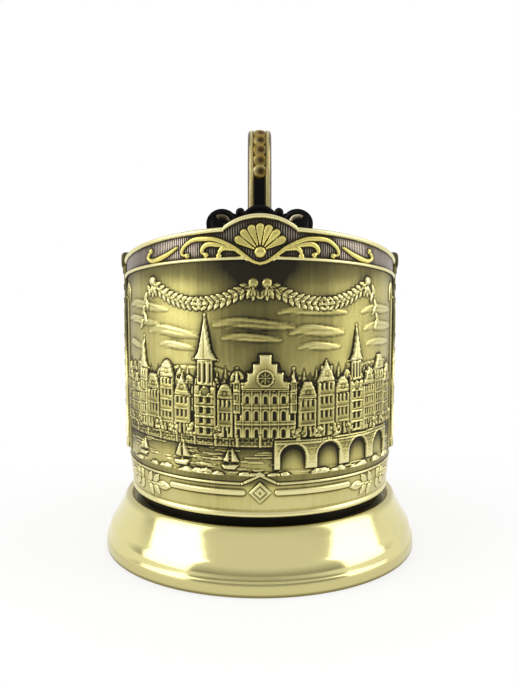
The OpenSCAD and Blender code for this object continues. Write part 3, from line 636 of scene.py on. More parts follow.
def draw_front(r):
    """Riverside town: swags and streaks of cloud above, towers and gables, a stone bridge and boats below."""
    rng = np.random.default_rng(7)
    for streak in CLOUDS:
        cloud(r, *streak)
    swag(r, -SWAG_OUT, -SWAG_IN, SWAG_TOP, SWAG_SAG)
    swag(r, SWAG_IN, SWAG_OUT, SWAG_TOP, SWAG_SAG)
    for hand in (-1, 1):
        for k in range(TAIL_LEAVES):
            leaf(r, hand * (TAIL_U + 0.5 * k), TAIL_Z - 1.7 * k, -pi / 2 + (-1) ** k * 0.5, 2.7, 0.34)
        side_frame(r, 0, hand)
    r.plate(ridge_line(-45, 45, 48.5, 4.2, 0.13, rng), HILLS, bevel=0.5, rim=0.08, shade=0.16)
    for u in np.arange(-44, 44, 2.0):
        pine(r, u + rng.uniform(-0.5, 0.5), 47.5 + rng.uniform(0, 1.8), rng.uniform(2.4, 4.4), 0.2)
    far_row(r, -44.5, 44.5, 42.0, FAR, rng, 8.5)
    near_row(r, TOWN, NEAR)
    for u, reach in QUAY_TREES:
        round_tree(r, u, TOWN_FOOT + 0.4, reach, NEAREST, rng)
    water = box_outline(-FRONT_HALF, WATER_FOOT, FRONT_HALF, TOWN_FOOT - 0.4)
    r.plate(water, 0.1, bevel=0.4, rim=0.1, shade=0.24)
    r.plate(box_outline(-FRONT_HALF, TOWN_FOOT - 2.0, BRIDGE_END, TOWN_FOOT + 0.2), 0.42,
            bevel=0.3, rim=0.1, shade=0.26)
    r.pattern((-FRONT_HALF, TOWN_FOOT - 1.9), (BRIDGE_END, TOWN_FOOT - 0.1),
              0.13, 1.5, 0.62, 0.86, 0.8, slant=0.5)
    for k in range(POSTS):
        u = FIRST_POST + POST_PITCH * k
        r.stroke([(u, TOWN_FOOT - 2.0), (u, TOWN_FOOT + 0.9)], 0.6, 0.2, ends=0.9, shade=0.12, steps=1)
    ripples(r, -43, 43, 26.6, 33.6, rng, WAVES)
    bridge(r, BRIDGE_END, 40.0, WATER, TOWN_FOOT - 0.2, 4, NEAREST)
    for u, size in BOATS:
        boat(r, u, WATER, size, NEAREST)
    shore(r, -44, 44, 26.2, rng, BOULDERS, 0.5)


def draw_back(r):
    """Hills, trees and a village either side of the handle."""
    rng = np.random.default_rng(11)
    back = pi * wall_radius()
    for hand in (-1, 1):
        left, right = sorted((back + hand * BACK_START, back + hand * FRONT_HALF))
        for z, a, b in BACK_CLOUDS:
            cloud(r, left + a * (right - left), left + b * (right - left), z, 1.5, 0.8)
        r.plate(ridge_line(left, right, 47.5, 5.0, 0.16, rng), 0.16, bevel=0.5, rim=0.06, shade=0.16)
        for u in np.arange(left + 1, right - 1, 2.3):
            pine(r, u + rng.uniform(-0.6, 0.6), 46.5 + rng.uniform(0, 2), rng.uniform(3, 5.5), 0.24)
        near_row(r, [(back + hand * row[0],) + row[1:] for row in VILLAGE], 0.52)
        for u in VILLAGE_TREES:
            round_tree(r, back + hand * u, 36.6, 1.6, 0.56, rng)
        r.plate(box_outline(left, WATER_FOOT, right, TOWN_FOOT - 0.4), 0.1, bevel=0.4, rim=0.12, shade=0.2)
        ripples(r, left + 2, right - 2, 27.0, 34.2, rng, BACK_WAVES)
        for u, size in VILLAGE_BOATS:
            boat(r, back + hand * u, WATER, size, 0.6)
        shore(r, left + 1, right - 1, 26.4, rng, BACK_BOULDERS, 0.5)
        side_frame(r, back, hand)


# Surfaces of the holder, in millimetres

WALL_Z = (16.8, 18.1, 20.8, 22.72, 24.8)
WALL_IN = (0.6, 0.6, 0.27, 0.084, 0.0)
PICTURE_Z = 27.2
BAND_STAND = 0.4
SHELL_DEPTH = 0.05
SIDE = pi / 2


def wall_radius():
    """Outside radius of the plain sleeve."""
    return mm(sizes().wall_radius)


def wall(z):
    """Outside radius at height z, where the foot of the sleeve draws in."""
    return wall_radius() - np.interp(z, WALL_Z, WALL_IN)


def rim_line(theta):
    """The rim without its crest: high at the front and back, low at the sides."""
    return mm(sizes().rim_height) - mm(sizes().rim_drop) * (1 - np.abs(np.cos(theta)))


def band_line(theta):
    """Lower edge of the rim band."""
    s = sizes()
    front = mm(s.rim_height - s.band_height)
    side = mm(s.rim_height - s.rim_drop - s.band_side)
    return front - (front - side) * (1 - np.abs(np.cos(theta)))


def crest_line(theta):
    """The rim with the crest's arc over its front."""
    s = sizes()
    rise, half = mm(s.crest_rise), mm(s.crest_half)
    r = (half * half + rise * rise) / (2 * rise)
    x = mm(s.bead_radius) * np.sin(theta)
    arch = mm(s.rim_height) + rise - r + np.sqrt(np.clip(r * r - x * x, 0, None))
    on_crest = (np.abs(x) < half) & (np.cos(theta) > 0)
    return np.where(on_crest, np.maximum(arch, rim_line(theta)), rim_line(theta))


def worn(h, level=0.55):
    """How far the metal is rubbed bright: most where a place stands over its surroundings."""
    return np.clip(level + 2.6 * (h - blurred(h, 1.3)) + 1.3 * (h - blurred(h, 5.0)), 0.0, 1.0)


def half_round(d, width, height):
    """Section of a bead of this width over the distance d from its edge."""
    return height * np.sqrt(np.clip(1 - ((d - width / 2) / (width / 2)) ** 2, 0, 1))


def half_grid(middle, cols, rows, low, high):
    """Angles, arc lengths and heights of a grid over half the sleeve, between two lines or heights."""
    theta = middle + np.linspace(-SIDE, SIDE, cols)
    low, high = (edge(theta) if callable(edge) else np.full(cols, edge) for edge in (low, high))
    share = np.linspace(0, 1, rows)[:, None]
    z = low[None, :] * (1 - share) + high[None, :] * share
    u = np.broadcast_to(theta * wall_radius(), z.shape)
    return theta, u, z


# Rim band

# Middle lines of the strap and the scrolls on the right half.
STRAP = ((0, 77.0), (1.7, 77.5), (3.6, 78.8), (6.2, 80.6), (10.1, 82.3), (13.8, 82.6), (16.4, 82.1),
         (18.55, 80.5), (18.9, 79.1), (17.5, 78.7))
SECOND = ((7.8, 80.8), (11.4, 81.4), (13.1, 80.8), (13.6, 79.6), (12.6, 78.9))
THIRD = ((5.5, 80.1), (8.05, 80.5), (9.2, 79.8), (9.5, 78.7))
END_SCROLL = ((20.3, 80.8), (23.7, 79.4), (28.3, 78.4), (30.35, 79.3), (29.1, 80.8))
SCROLL_TILT, LEVEL_PART = 0.10, 18
BACK_MIDDLE = 110.6
# Distance from the ball and half width of a petal's flank, from its foot up.
PETAL = ((1.4, 0.28), (3.4, 0.68), (4.8, 0.98))
PETAL_ROUND = 1.04
SHELL_Z, SHELL_BALL, SHELL_R, PETALS, PETAL_TURN = 79.6, 1.25, 6.5, 7, 20.0
STEM_IN, STEM_OUT = 1.3, 5.3
DIP_HALF, DIP = 3.6, 1.45
HATCH_PITCH, HATCH_DEPTH = 0.57, 0.09
UPPER_BEAD, LOWER_BEAD = 1.1, 0.88


def draw_scrolls(r, middle, lines):
    """Mirrored scrolls, each with a curl on its tip, that follow the band's slope."""
    for hand in (-1, 1):
        for line in lines:
            points = [(middle + hand * u, z - SCROLL_TILT * max(abs(u) - LEVEL_PART, 0)) for u, z in line]
            r.stroke(points, 1.25, 0.52, ends=0.45, shade=0.12, gilt=1.0, laid=True)
            r.dome(*points[-1], 0.62, 0.62, 0.42, base=0.14, shade=0.1, gilt=1.0)


def draw_shell(r):
    """Fan of petals with fine stems over a ball."""
    for k in range(PETALS):
        a = radians(PETAL_TURN * (k - (PETALS - 1) / 2))
        along, across = np.array([sin(a), cos(a)]), np.array([cos(a), -sin(a)])
        at = np.array([0.0, SHELL_Z])
        right = [at + across * w + along * d for d, w in PETAL]
        left = [at - across * w + along * d for d, w in reversed(PETAL)]
        tip = [at + along * (SHELL_R - 0.9) + PETAL_ROUND * (across * cos(b) + along * sin(b))
               for b in np.linspace(0, pi, 9)]
        r.plate([tuple(p) for p in right + tip + left], 0.46, bevel=0.3, rim=0.1, shade=0.2, gilt=1.0)
    for k in range(PETALS - 1):
        a = radians(PETAL_TURN * (k + 1 - PETALS / 2))
        r.cut([(d * sin(a), SHELL_Z + d * cos(a)) for d in (STEM_IN, STEM_OUT)], 0.2, 0.3)
    r.dome(0, SHELL_Z, SHELL_BALL, SHELL_BALL, 0.5, base=0.1, shade=0.2, gilt=1.0)


def band_foot(theta):
    """Lower edge of the band's dressing, which dips to a point under the shell."""
    share = np.clip(1 - np.abs(theta) * wall_radius() / DIP_HALF, 0, 1)
    return band_line(theta) - DIP * share ** 0.85


def band_piece(name, middle, replaced):
    """Half of the rim band: hatched ground, a bead along each edge, shell and scrolls."""
    front = middle == 0
    foot = band_foot if front else band_line
    theta, u, z = half_grid(middle, 760, 64, foot, crest_line)
    r = Relief(u, z)
    hatch = (0.5 + 0.5 * np.cos(2 * pi * u / HATCH_PITCH)) ** 1.5
    r.h -= HATCH_DEPTH * hatch
    if front:
        draw_scrolls(r, 0, (STRAP, SECOND, THIRD, END_SCROLL))
        draw_shell(r)
    else:
        draw_scrolls(r, BACK_MIDDLE, (END_SCROLL,))
    stand = mm(sizes().bead_radius - sizes().wall_radius) - BAND_STAND
    upper = half_round(crest_line(theta)[None, :] - z, UPPER_BEAD, stand)
    lower = half_round(z - foot(theta)[None, :], LOWER_BEAD, stand)
    if front:
        lower = lower * smoothstep(2.6, DIP_HALF, np.abs(u))
    edges = np.maximum(upper, lower)
    ground = ((edges < 0.02) & (r.gilt < 0.5)).astype(float)
    h = np.maximum(r.h, edges)
    rubbed = worn(h, 0.62) + 0.2 * (edges > 0.1)
    rubbed = np.where(ground > 0.5, rubbed + 0.12 - 0.5 * hatch, rubbed)
    grid_shell(name, theta, z, wall_radius() + BAND_STAND + h, wall_radius() - SHELL_DEPTH, replaced,
               worn=np.clip(rubbed, 0, 1), gilt=r.gilt, ground=ground)


# Wall and lower border

BORDER_MID, BORDER_EDGE, BORDER_LINE = 23.0, 25.2, 18.6
PEAK_HALF, PEAK_RISE = 4.2, 2.1
# Half width and height of the steps of a lozenge, from outside in.
LOZENGE = ((2.7, 0.38), (1.95, 0.08), (1.45, 0.36), (0.75, 0.1))
BAR_HALF, BAR_START, BACK_BAR_START, BAR_END = 0.75, 3.44, 7.6, 23.2
LEAF_U, LEAF_Z = 33.8, 22.1
# Depth, half width and the heights between which each patch of painted shade under the shell, down the
# middle, sets in.
MIDDLE_PAINTED_SHADE = ((0.1, 12.0, 44, 54), (0.18, 8.0, 46, 64), (0.16, 6.5, 66, 76))


def wall_piece(name, middle, cols, rows, draw, replaced):
    """Half of the picture, with painted shade towards the sides, under the band and down the middle under the
    shell; darker over the water and town, lighter along its foot.
    """
    theta, u, z = half_grid(middle, cols, rows, PICTURE_Z, lambda t: band_line(t) + 0.3)
    r = Relief(u, z, 0.12)
    draw(r)
    h = np.clip(r.h, 0.04, mm(sizes().relief))
    # Painted shade darkens the sides and the top under the band; the next line darkens the water and town and
    # lightens the foot.
    patina_and_shade = 0.3 * smoothstep(36, 54, np.abs(u - middle * wall_radius())) + 0.25 * smoothstep(69, 77, z)
    patina_and_shade += 0.25 * smoothstep(29, 35, z) * (1 - smoothstep(46, 54, z)) - 0.1 * (1 - smoothstep(27, 31, z))
    if middle == 0:
        # Painted shade under the shell, down the middle of the front.
        for depth, half, low, high in MIDDLE_PAINTED_SHADE:
            patina_and_shade += depth * np.exp(-(u / half) ** 2) * smoothstep(low, high, z)
    grid_shell(name, theta, z, wall(z) + h, wall(z) - SHELL_DEPTH, replaced,
               worn=np.clip(worn(h, 0.55) - patina_and_shade, 0.1, 1))


def draw_border(r, middle):
    """Bars with round ends, lozenges under a peaked line, and lobed leaves."""
    r.cut([(r.u[0, 0] - 1, BORDER_LINE), (r.u[0, -1] + 1, BORDER_LINE)], 0.34, 0.2)
    for side in (-SIDE, SIDE) if middle else (-SIDE, 0.0, SIDE):
        u = middle + side * wall_radius()
        for size, top in LOZENGE:
            r.plate(arc(u, BORDER_MID, size, 180, 450, 4), top, bevel=0.25, rim=0.05, shade=0.16)
        r.bar([(u - PEAK_HALF, BORDER_EDGE), (u, BORDER_EDGE + PEAK_RISE), (u + PEAK_HALF, BORDER_EDGE)],
              0.62, 0.24, 0.14)
    left = (BACK_BAR_START if middle else BAR_START) + BAR_HALF
    round_end = arc(0, BORDER_MID, BAR_HALF, 90, 270, 8)
    ends = [(left + x, z) for x, z in round_end] + [(BAR_END - x, z) for x, z in reversed(round_end)]
    for hand in (-1, 1):
        r.plate([(middle + hand * x, z) for x, z in ends], 0.38, bevel=0.3, rim=0.06, shade=0.24)
        r.bar([(middle + hand * x, BORDER_EDGE) for x in (PEAK_HALF, 23, 51)], 0.62, 0.24, 0.14)
        for way in (-1, 1):
            spray(r, middle + hand * (LEAF_U + 0.6 * way), LEAF_Z + 0.25 * way, hand * way)


def spray(r, u, z, way):
    """An acanthus leaf: broad side lobes in two pairs and a longer tip lobe on one rib."""
    along = 0.0 if way > 0 else pi
    for at, size, turn in ((0.9, 3.2, 1.15), (3.0, 3.4, 0.85)):
        for hand in (-1, 1):
            leaf(r, u + way * at, z + 0.06 * at, along + hand * turn, size, 0.3, wide=0.62)
    leaf(r, u + way * 4.3, z + 0.3, along, 5.0, 0.34, wide=0.46)
    r.stroke([(u, z), (u + way * 3, z + 0.2), (u + way * 7.2, z + 0.4)], 0.55, 0.2, ends=0.5, shade=0.1)


def border_piece(name, middle, replaced):
    """Half of the lower border, brightest on the bead at its foot."""
    low = mm(sizes().wall_foot)
    theta, u, z = half_grid(middle, 620, 60, low, PICTURE_Z + 0.2)
    r = Relief(u, z, 0.07)
    draw_border(r, middle * wall_radius())
    bead = half_round(z - low, 1.3, 0.3)
    h = np.maximum(np.clip(r.h, 0.02, 0.5), bead)
    level = 0.66 - 0.26 * smoothstep(23.6, 25.6, z)
    grid_shell(name, theta, z, wall(z) + h, wall(z) - SHELL_DEPTH, replaced,
               worn=np.clip(worn(h, level) + 0.25 * (bead > 0.08), 0, 1))


# Side panels

PANEL_SHARES = (0.62, 0.98, 0.9, 0.7, 0.6, 0.74, 0.95, 0.8, 0.52, 0.46, 0.6, 0.74, 0.56, 0.36, 0.3, 0.42, 0.5)
PANEL_LOW, PANEL_HIGH, PANEL_HALF, PANEL_MARGIN = 26.3, 75.9, 8.4, 0.8
PANEL_LEAVES, PANEL_LEAF_PITCH, LARGE_LEAVES = 12, 3.6, 8
CURL_X, CURL_Z, CURL_R, CURL_IN, CURL_SKIN = 2.1, 77.3, 1.75, 1.35, 36.1


def panel_curls(middle):
    """Lines of the pair of curls on top of a side panel, with their girths."""
    paths = []
    for hand in (-1, 1):
        line = [(0.2, 73.6), (0.3, 75.2)]
        for t in np.linspace(0, 1, 26):
            reach, a = CURL_R - CURL_IN * t, pi * (2.9 * t - 0.9)
            line.append((CURL_X + reach * cos(a), CURL_Z + reach * sin(a)))
        paths.append([(*on_cylinder(middle, hand * x, z, CURL_SKIN), 0.55 if k > 22 else 0.62)
                      for k, (x, z) in enumerate(line)])
    return paths


def panel_piece(name, middle, replaced):
    """Baluster strap over the seam at the side, with leaves laid on it, and a pair of curls on top."""
    reach = (PANEL_HALF + PANEL_MARGIN) / wall_radius()
    theta = middle + np.linspace(-reach, reach, 120)
    z = np.repeat(np.linspace(PANEL_LOW, PANEL_HIGH, 300)[:, None], theta.size, axis=1)
    u = np.broadcast_to((theta - middle) * wall_radius(), z.shape)
    pitch = (PANEL_HIGH - PANEL_LOW) / (len(PANEL_SHARES) - 1)
    edge = curve([(PANEL_HALF * w, PANEL_LOW + 0.3 + pitch * k) for k, w in enumerate(PANEL_SHARES)], 4)
    outline = [tuple(p) for p in edge] + [(-p[0], p[1]) for p in reversed(edge)]
    r = Relief(u, z)
    r.plate(outline, 1.25, bevel=0.5, rim=0.12, shade=0.0)
    for k in range(PANEL_LEAVES):
        for hand in (-1, 1):
            leaf(r, 0, PANEL_LOW + 3.2 + PANEL_LEAF_PITCH * k, pi / 2 - hand * 0.8,
                 4.2 if k < LARGE_LEAVES else 2.4, 0.34)
    r.stroke([(0, PANEL_LOW + 1.5), (0, 50), (0, PANEL_HIGH - 1)], 1.3, 0.35, ends=0.5)
    r.cut([(0.8 * x, z) for x, z in outline], 0.3, 0.14)
    h = np.where(inside_distance(u, z, outline) > 0, np.clip(r.h, 0.3, 1.7), -0.3)
    grid_shell(name, theta, z, wall_radius() + h, wall_radius() - 0.6, replaced,
               worn=worn(h, 0.3) * (1 - 0.62 * smoothstep(38, 64, z)))
    swept(name + "_curls", panel_curls(middle))


def on_cylinder(middle, x, z, radius):
    """Place on a cylinder, x to the right of the middle as seen from outside."""
    y = sqrt(max(radius * radius - x * x, 0.0))
    return (x * cos(middle) + y * sin(middle), x * sin(middle) - y * cos(middle), z)


# Node trees


class Value:
    """A socket in a node tree that arithmetic can be done on."""

    def __init__(self, nodes, socket):
        self.nodes, self.socket = nodes, socket

    def math(self, operation, *others):
        return self.nodes.add("ShaderNodeMath", {"operation": operation}, dict(enumerate((self, *others))))

    def __add__(self, other):
        return self.math("ADD", other)

    def __mul__(self, other):
        return self.math("MULTIPLY", other)

    __radd__, __rmul__ = __add__, __mul__

    def __sub__(self, other):
        return self.math("SUBTRACT", other)

    def __rsub__(self, other):
        return self.nodes.add("ShaderNodeMath", {"operation": "SUBTRACT"}, {0: other, 1: self})

    def __pow__(self, other):
        return self.math("POWER", other)

    def absolute(self):
        return self.math("ABSOLUTE")

    def step(self, low, high):
        """Smooth step from 0 at low to 1 at high."""
        return self.nodes.add("ShaderNodeMapRange", {"interpolation_type": "SMOOTHSTEP"},
                              {"Value": self, "From Min": low, "From Max": high})

    def part(self, axis):
        """One coordinate of a vector."""
        return self.nodes.add("ShaderNodeSeparateXYZ", None, {0: self}, out=axis)

    def beside(self, name):
        """Another output of the same node."""
        return Value(self.nodes, self.socket.node.outputs[name])


class Nodes:
    """Adds nodes to a tree by type, settings and sockets."""

    def __init__(self, tree):
        self.tree = tree

    def add(self, kind, settings=None, sockets=None, out=0):
        """One output of a new node; a list of values goes into one socket together."""
        node = self.tree.nodes.new(kind)
        for key, value in (settings or {}).items():
            if key == "stops":
                ramp = node.color_ramp.elements
                for end in (0, -1):
                    ramp[end].position, ramp[end].color = value[end][0], opaque(value[end][1])
                for place, shade in value[1:-1]:
                    ramp.new(place).color = opaque(shade)
            else:
                setattr(node, key, value)
        for key, value in (sockets or {}).items():
            if isinstance(value, (Value, list)):
                for one in (value if isinstance(value, list) else [value]):
                    self.tree.links.new(one.socket, node.inputs[key])
            else:
                node.inputs[key].default_value = value
        return Value(self, node.outputs[out])

    def end(self, kind, value):
        """The tree's output node, fed by a value."""
        self.tree.links.new(value.socket, self.tree.nodes.new(kind).inputs[0])

    def mix(self, factor, a, b):
        return self.add("ShaderNodeMix", {"data_type": "RGBA"},
                        {0: factor, 6: opaque(a), 7: opaque(b)}, out=2)

    def ramp(self, factor, *stops):
        return self.add("ShaderNodeValToRGB", {"stops": stops}, {0: factor})

    def object_place(self):
        return self.add("ShaderNodeTexCoord", out=3)

    def noise(self, scale, detail=3.0, stretch=(1, 1, 1)):
        """Noise on Object coordinates, in features per metre."""
        place = self.add("ShaderNodeMapping", None, {0: self.object_place(), 3: stretch})
        return self.add("ShaderNodeTexNoise", None,
                        {"Vector": place, "Scale": scale, "Detail": detail, "Roughness": 0.55})

    def uneven(self, scale, amount):
        """Noise round zero that roughness varies by."""
        return (self.noise(scale) - 0.5) * amount

    def bump(self, height, distance, strength=0.5):
        return self.add("ShaderNodeBump", None,
                        {"Height": height, "Distance": distance, "Strength": strength})

    def attribute(self, name):
        return self.add("ShaderNodeAttribute", {"attribute_name": name}, out=2)

    def vector(self, x, y, z):
        return self.add("ShaderNodeCombineXYZ", None, {0: x, 1: y, 2: z})


def opaque(shade):
    """A colour with its alpha, or a link as it is."""
    return shade if isinstance(shade, Value) else (*shade[:3], 1.0)


# Metals


def metal(name, **fixed):
    """Makes a function that gives what varies into one that gives its material, built once."""
    def wrap(build):
        def material():
            found = bpy.data.materials.get(name)
            if found:
                return found
            made = bpy.data.materials.new(name)
            made.use_nodes = True
            shader = only(made.node_tree, "BSDF_PRINCIPLED")
            for key, value in fixed.items():
                shader.inputs[key.replace("_", " ")].default_value = value
            for key, value in build(Nodes(made.node_tree), colours()).items():
                made.node_tree.links.new(value.socket, shader.inputs[key])
            return made
        return material
    return wrap


def only(tree, kind):
    """The tree's one node of a type."""
    return next(node for node in tree.nodes if node.type == kind)


@metal("Relief brass")
def relief_brass(n, c):
    """Brass with patina in its hollows, rubbed bright on what stands up; on the picture walls its tone also
    carries painted shade.
    """
    # The tone attribute holds wear and patina, and on the picture walls painted shade as well.
    rub_and_shade, gilt, ground = n.attribute("worn"), n.attribute("gilt"), n.attribute("ground")
    blotch, brushed = n.noise(55, 4, (1, 1, 0.45)) - 0.5, n.noise(1100, 2, (1, 1, 0.06)) - 0.5
    rub_and_shade = rub_and_shade + blotch * 0.34 + brushed * 0.12
    tone = n.ramp(rub_and_shade, (0.14, c.dark), (0.36, [0.33 * v for v in c.middle]), (0.56, c.middle),
                  (0.88, c.bright))
    petals = n.mix(rub_and_shade.step(0.25, 0.7), c.dark, (0.74, 0.64, 0.20))
    plain = n.mix(ground, tone, n.mix(rub_and_shade.step(0.35, 0.75), c.dark, c.ground))
    return {"Base Color": n.mix(gilt, plain, petals),
            "Roughness": 0.58 - rub_and_shade.step(0.2, 0.6) * 0.29 + n.uneven(420, 0.12),
            "Metallic": rub_and_shade.step(0.05, 0.5) * 0.35 + 0.65,
            "Normal": n.bump(n.noise(2600), 0.00006)}


@metal("Spun brass", Metallic=1.0)
def foot_brass(n, c):
    """Spun brass with faint turning lines, dull in its seams and on the hem, with painted shade darkening its
    top under the sleeve.
    """
    height = n.object_place().part(2)
    seam, hem = 1 - height.step(0.0002, 0.0011), 1 - height.step(0.0026, 0.0038)
    # Painted shade darkens the top of the foot under the sleeve.
    neck = height.step(0.0132, 0.0149)
    patch = n.noise(30, 4).step(0.55, 0.8)
    dull = (seam + neck * 0.5 + hem * 0.28 + patch * 0.25).math("MINIMUM", 1.0)
    return {"Base Color": n.mix(dull, c.polished, (0.25, 0.21, 0.08)),
            "Roughness": 0.13 + dull * 0.22 + (n.noise(190, 4) - 0.5) * 0.1,
            "Normal": n.bump(n.noise(700, 2, (0.02, 0.02, 5.0)), 0.00002, 0.25)}


@metal("Handle brass", Specular_IOR_Level=0.08)
def handle_metal(n, c):
    """Warm brass: black in the channel as painted shade, bright along the mouldings, brown on the sides."""
    across = n.object_place().part(0).absolute() * 250.0 + (n.noise(140, 4) - 0.5) * 0.14
    # The black and dark stops in the middle, with the metal turned off there, are painted shade in the
    # channel.
    tone = n.ramp(across, (0.40, (0.003, 0.002, 0.003)), (0.53, (0.12, 0.095, 0.026)), (0.62, c.handle),
                  (0.70, c.handle), (0.83, (0.13, 0.105, 0.075)))
    stain = n.noise(90, 4).step(0.45, 0.7) * across.step(0.44, 0.6)
    return {"Base Color": n.mix(stain * 0.35, tone, (0.20, 0.155, 0.07)),
            "Roughness": 0.62 - across.step(0.4, 0.62) * 0.34 + n.uneven(400, 0.14),
            "Metallic": across.step(0.4, 0.52) * 0.95,
            "Normal": n.bump(n.noise(1500, 4), 0.00006)}


@metal("Plate brass", Metallic=0.95)
def rivet_metal(n, c):
    """Warm brass of the plate and the rivets, dull where dirt gathers."""
    dirt = n.noise(130, 4).step(0.45, 0.75)
    return {"Base Color": n.mix(dirt * 0.4, c.handle, (0.10, 0.075, 0.03)),
            "Roughness": 0.4 + dirt * 0.1 + n.uneven(420, 0.12),
            "Normal": n.bump(n.noise(1500, 4), 0.00006)}


@metal("Scale brass", Metallic=0.85)
def scale_metal(n, c):
    """Olive gold scales with a brown heart each and a rubbed rim."""
    patch = (n.noise(380) - 0.5) * 1.3
    gold = n.mix((patch + 0.5).step(0.35, 0.75), (0.30, 0.19, 0.035), c.handle)
    deep = (n.attribute("heart") + patch).step(0.05, 1.0)
    return {"Base Color": n.mix(deep, gold, (0.06, 0.034, 0.011)),
            "Roughness": 0.3 + deep * 0.22 + n.uneven(500, 0.12),
            "Normal": n.bump(n.noise(1600, 4), 0.00006)}


@metal("Black and painted shade", Metallic=0.0, Specular_IOR_Level=0.1)
def black_and_shade_metal(n, c):
    """Glossy black over brass, rubbed thin on its edges; on the neck ring this black is painted shade for the
    dark gap under the sleeve.
    """
    return {"Base Color": n.mix(n.noise(240, 5).step(0.6, 0.85) * 0.3, c.black, (0.05, 0.04, 0.028)),
            "Roughness": 0.22 + n.uneven(500, 0.16),
            "Normal": n.bump(n.noise(1200, 4), 0.00002)}


@metal("Rubbed edge and painted highlight", Metallic=0.8)
def rubbed_and_highlight_metal(n, c):
    """Brass that shows through the black along a rubbed edge, with a painted highlight on the volutes' inner
    edges.
    """
    return {"Base Color": n.mix(n.noise(300).step(0.35, 0.7), (0.10, 0.08, 0.05), (0.50, 0.43, 0.30)),
            "Roughness": 0.34 + n.uneven(500, 0.15)}


@metal("Inner brass", Metallic=0.95)
def bore_metal(n, c):
    """Plain inner brass with upright wiping marks."""
    wiped = n.noise(900, 2, (1, 1, 0.04))
    return {"Base Color": n.mix(n.noise(45, 4, (1, 1, 0.4)).step(0.42, 0.75), (0.46, 0.39, 0.17), c.middle),
            "Roughness": 0.38 + wiped * 0.14,
            "Normal": n.bump(wiped, 0.00003)}


@metal("Pale floor", Roughness=0.8)
def floor_paint(n, c):
    """Pale paint of the floor."""
    return {"Base Color": n.mix(n.noise(3, 2), (0.9, 0.9, 0.895), (0.92, 0.92, 0.915))}


def floor_pale():
    """Floor paint that keeps the shadow near the holder and is white to the camera farther off."""
    material = floor_paint()
    n = Nodes(material.node_tree)
    reach = n.add("ShaderNodeVectorMath", {"operation": "LENGTH"}, {0: n.object_place()}, out=1)
    camera = n.add("ShaderNodeLightPath", out="Is Camera Ray")
    seen = camera + camera.beside("Is Glossy Ray") + camera.beside("Is Transmission Ray")
    white = n.add("ShaderNodeEmission", None, {"Color": (1, 1, 1, 1), "Strength": 1.0})
    paint = Value(n, only(n.tree, "BSDF_PRINCIPLED").outputs[0])
    blend = n.add("ShaderNodeMixShader", None,
                  {0: seen.math("MINIMUM", 1.0) * (reach.step(0.03, 0.15) * 0.35 + 0.65), 1: paint, 2: white})
    n.tree.links.new(blend.socket, only(n.tree, "OUTPUT_MATERIAL").inputs[0])
    return material


# Shapes made by Geometry Nodes


class Shape(Nodes):
    """A geometry tree that is run over lines of points and kept as a plain mesh."""

    def __init__(self, name, **values):
        """Gives the tree one named input for each value."""
        super().__init__(bpy.data.node_groups.new(name, "GeometryNodeTree"))
        face = self.tree.interface
        face.new_socket("Geometry", in_out="INPUT", socket_type="NodeSocketGeometry")
        face.new_socket("Geometry", in_out="OUTPUT", socket_type="NodeSocketGeometry")
        self.values = {}
        for key, value in values.items():
            kind = {int: "Int", float: "Float"}.get(type(value), "Material")
            socket = face.new_socket(key, in_out="INPUT", socket_type="NodeSocket" + kind)
            self.values[socket.identifier] = value
        self.material = values["Material"]
        given = self.tree.nodes.new("NodeGroupInput")
        self.given = {s.name: Value(self, s) for s in given.outputs if s.name}

    def line(self):
        return self.add("GeometryNodeMeshToCurve", None, {"Mesh": self.given["Geometry"]})

    def girth(self):
        return self.add("GeometryNodeInputNamedAttribute", {"data_type": "FLOAT"}, {"Name": "girth"})

    def ring(self, sides):
        return self.add("GeometryNodeCurvePrimitiveCircle", {"mode": "RADIUS"},
                        {"Resolution": sides, "Radius": MM})

    def ball(self, segments, rings, radius):
        return self.add("GeometryNodeMeshUVSphere", None,
                        {"Segments": segments, "Rings": rings, "Radius": radius})

    def moved(self, geometry, **place):
        return self.add("GeometryNodeSetPosition", None, {"Geometry": geometry, **place})

    def bar(self, line, ring):
        """A bar of this section along the line."""
        return self.add("GeometryNodeCurveToMesh", None,
                        {"Curve": line, "Profile Curve": ring, "Fill Caps": True})

    def round_bars(self):
        """Round bars along the lines, as thick as their points' girths."""
        thick = self.add("GeometryNodeSetCurveRadius", None, {"Curve": self.line(), "Radius": self.girth()})
        return self.bar(thick, self.ring(self.given["Sides"]))

    def piece(self, name, lines, geometry, replaced, slot, **attributes):
        """Ends the tree, runs it over lines of (x, y, z, girth) points in mm and dresses the mesh."""
        geometry = self.add("GeometryNodeSetShadeSmooth", None, {"Geometry": geometry})
        geometry = self.add("GeometryNodeRealizeInstances", None, {0: geometry})
        self.end("NodeGroupOutput", self.add("GeometryNodeSetMaterial", None,
                                             {"Geometry": geometry, "Material": self.given["Material"]}))
        points = [p for line in lines for p in line]
        edges, start = [], 0
        for line in lines:
            edges += [(k, k + 1) for k in range(start, start + len(line) - 1)]
            start += len(line)
        source = bpy.data.meshes.new(name + "_line")
        source.from_pydata([tuple(MM * v for v in p[:3]) for p in points], edges, [])
        mark(source, {"girth": [p[3] for p in points]})
        source = linked(name + "_line", source)
        modifier = source.modifiers.new("Shape", "NODES")
        modifier.node_group = self.tree
        for ident, value in self.values.items():
            modifier[ident] = value
        graph = bpy.context.evaluated_depsgraph_get()
        mesh = bpy.data.meshes.new_from_object(source.evaluated_get(graph))
        bpy.data.objects.remove(source)
        mesh.name = name
        mark(mesh, attributes)
        weld(mesh)
        dress(name, mesh, self.material, replaced)


def swept(name, lines):
    """Round brass bars of varying girth along lines."""
    shape = Shape(name, Material=relief_brass(), Sides=14)
    shape.piece(name, lines, shape.round_bars(), (), "old_brass", worn=0.2, gilt=0.0, ground=0.0)


# Handle

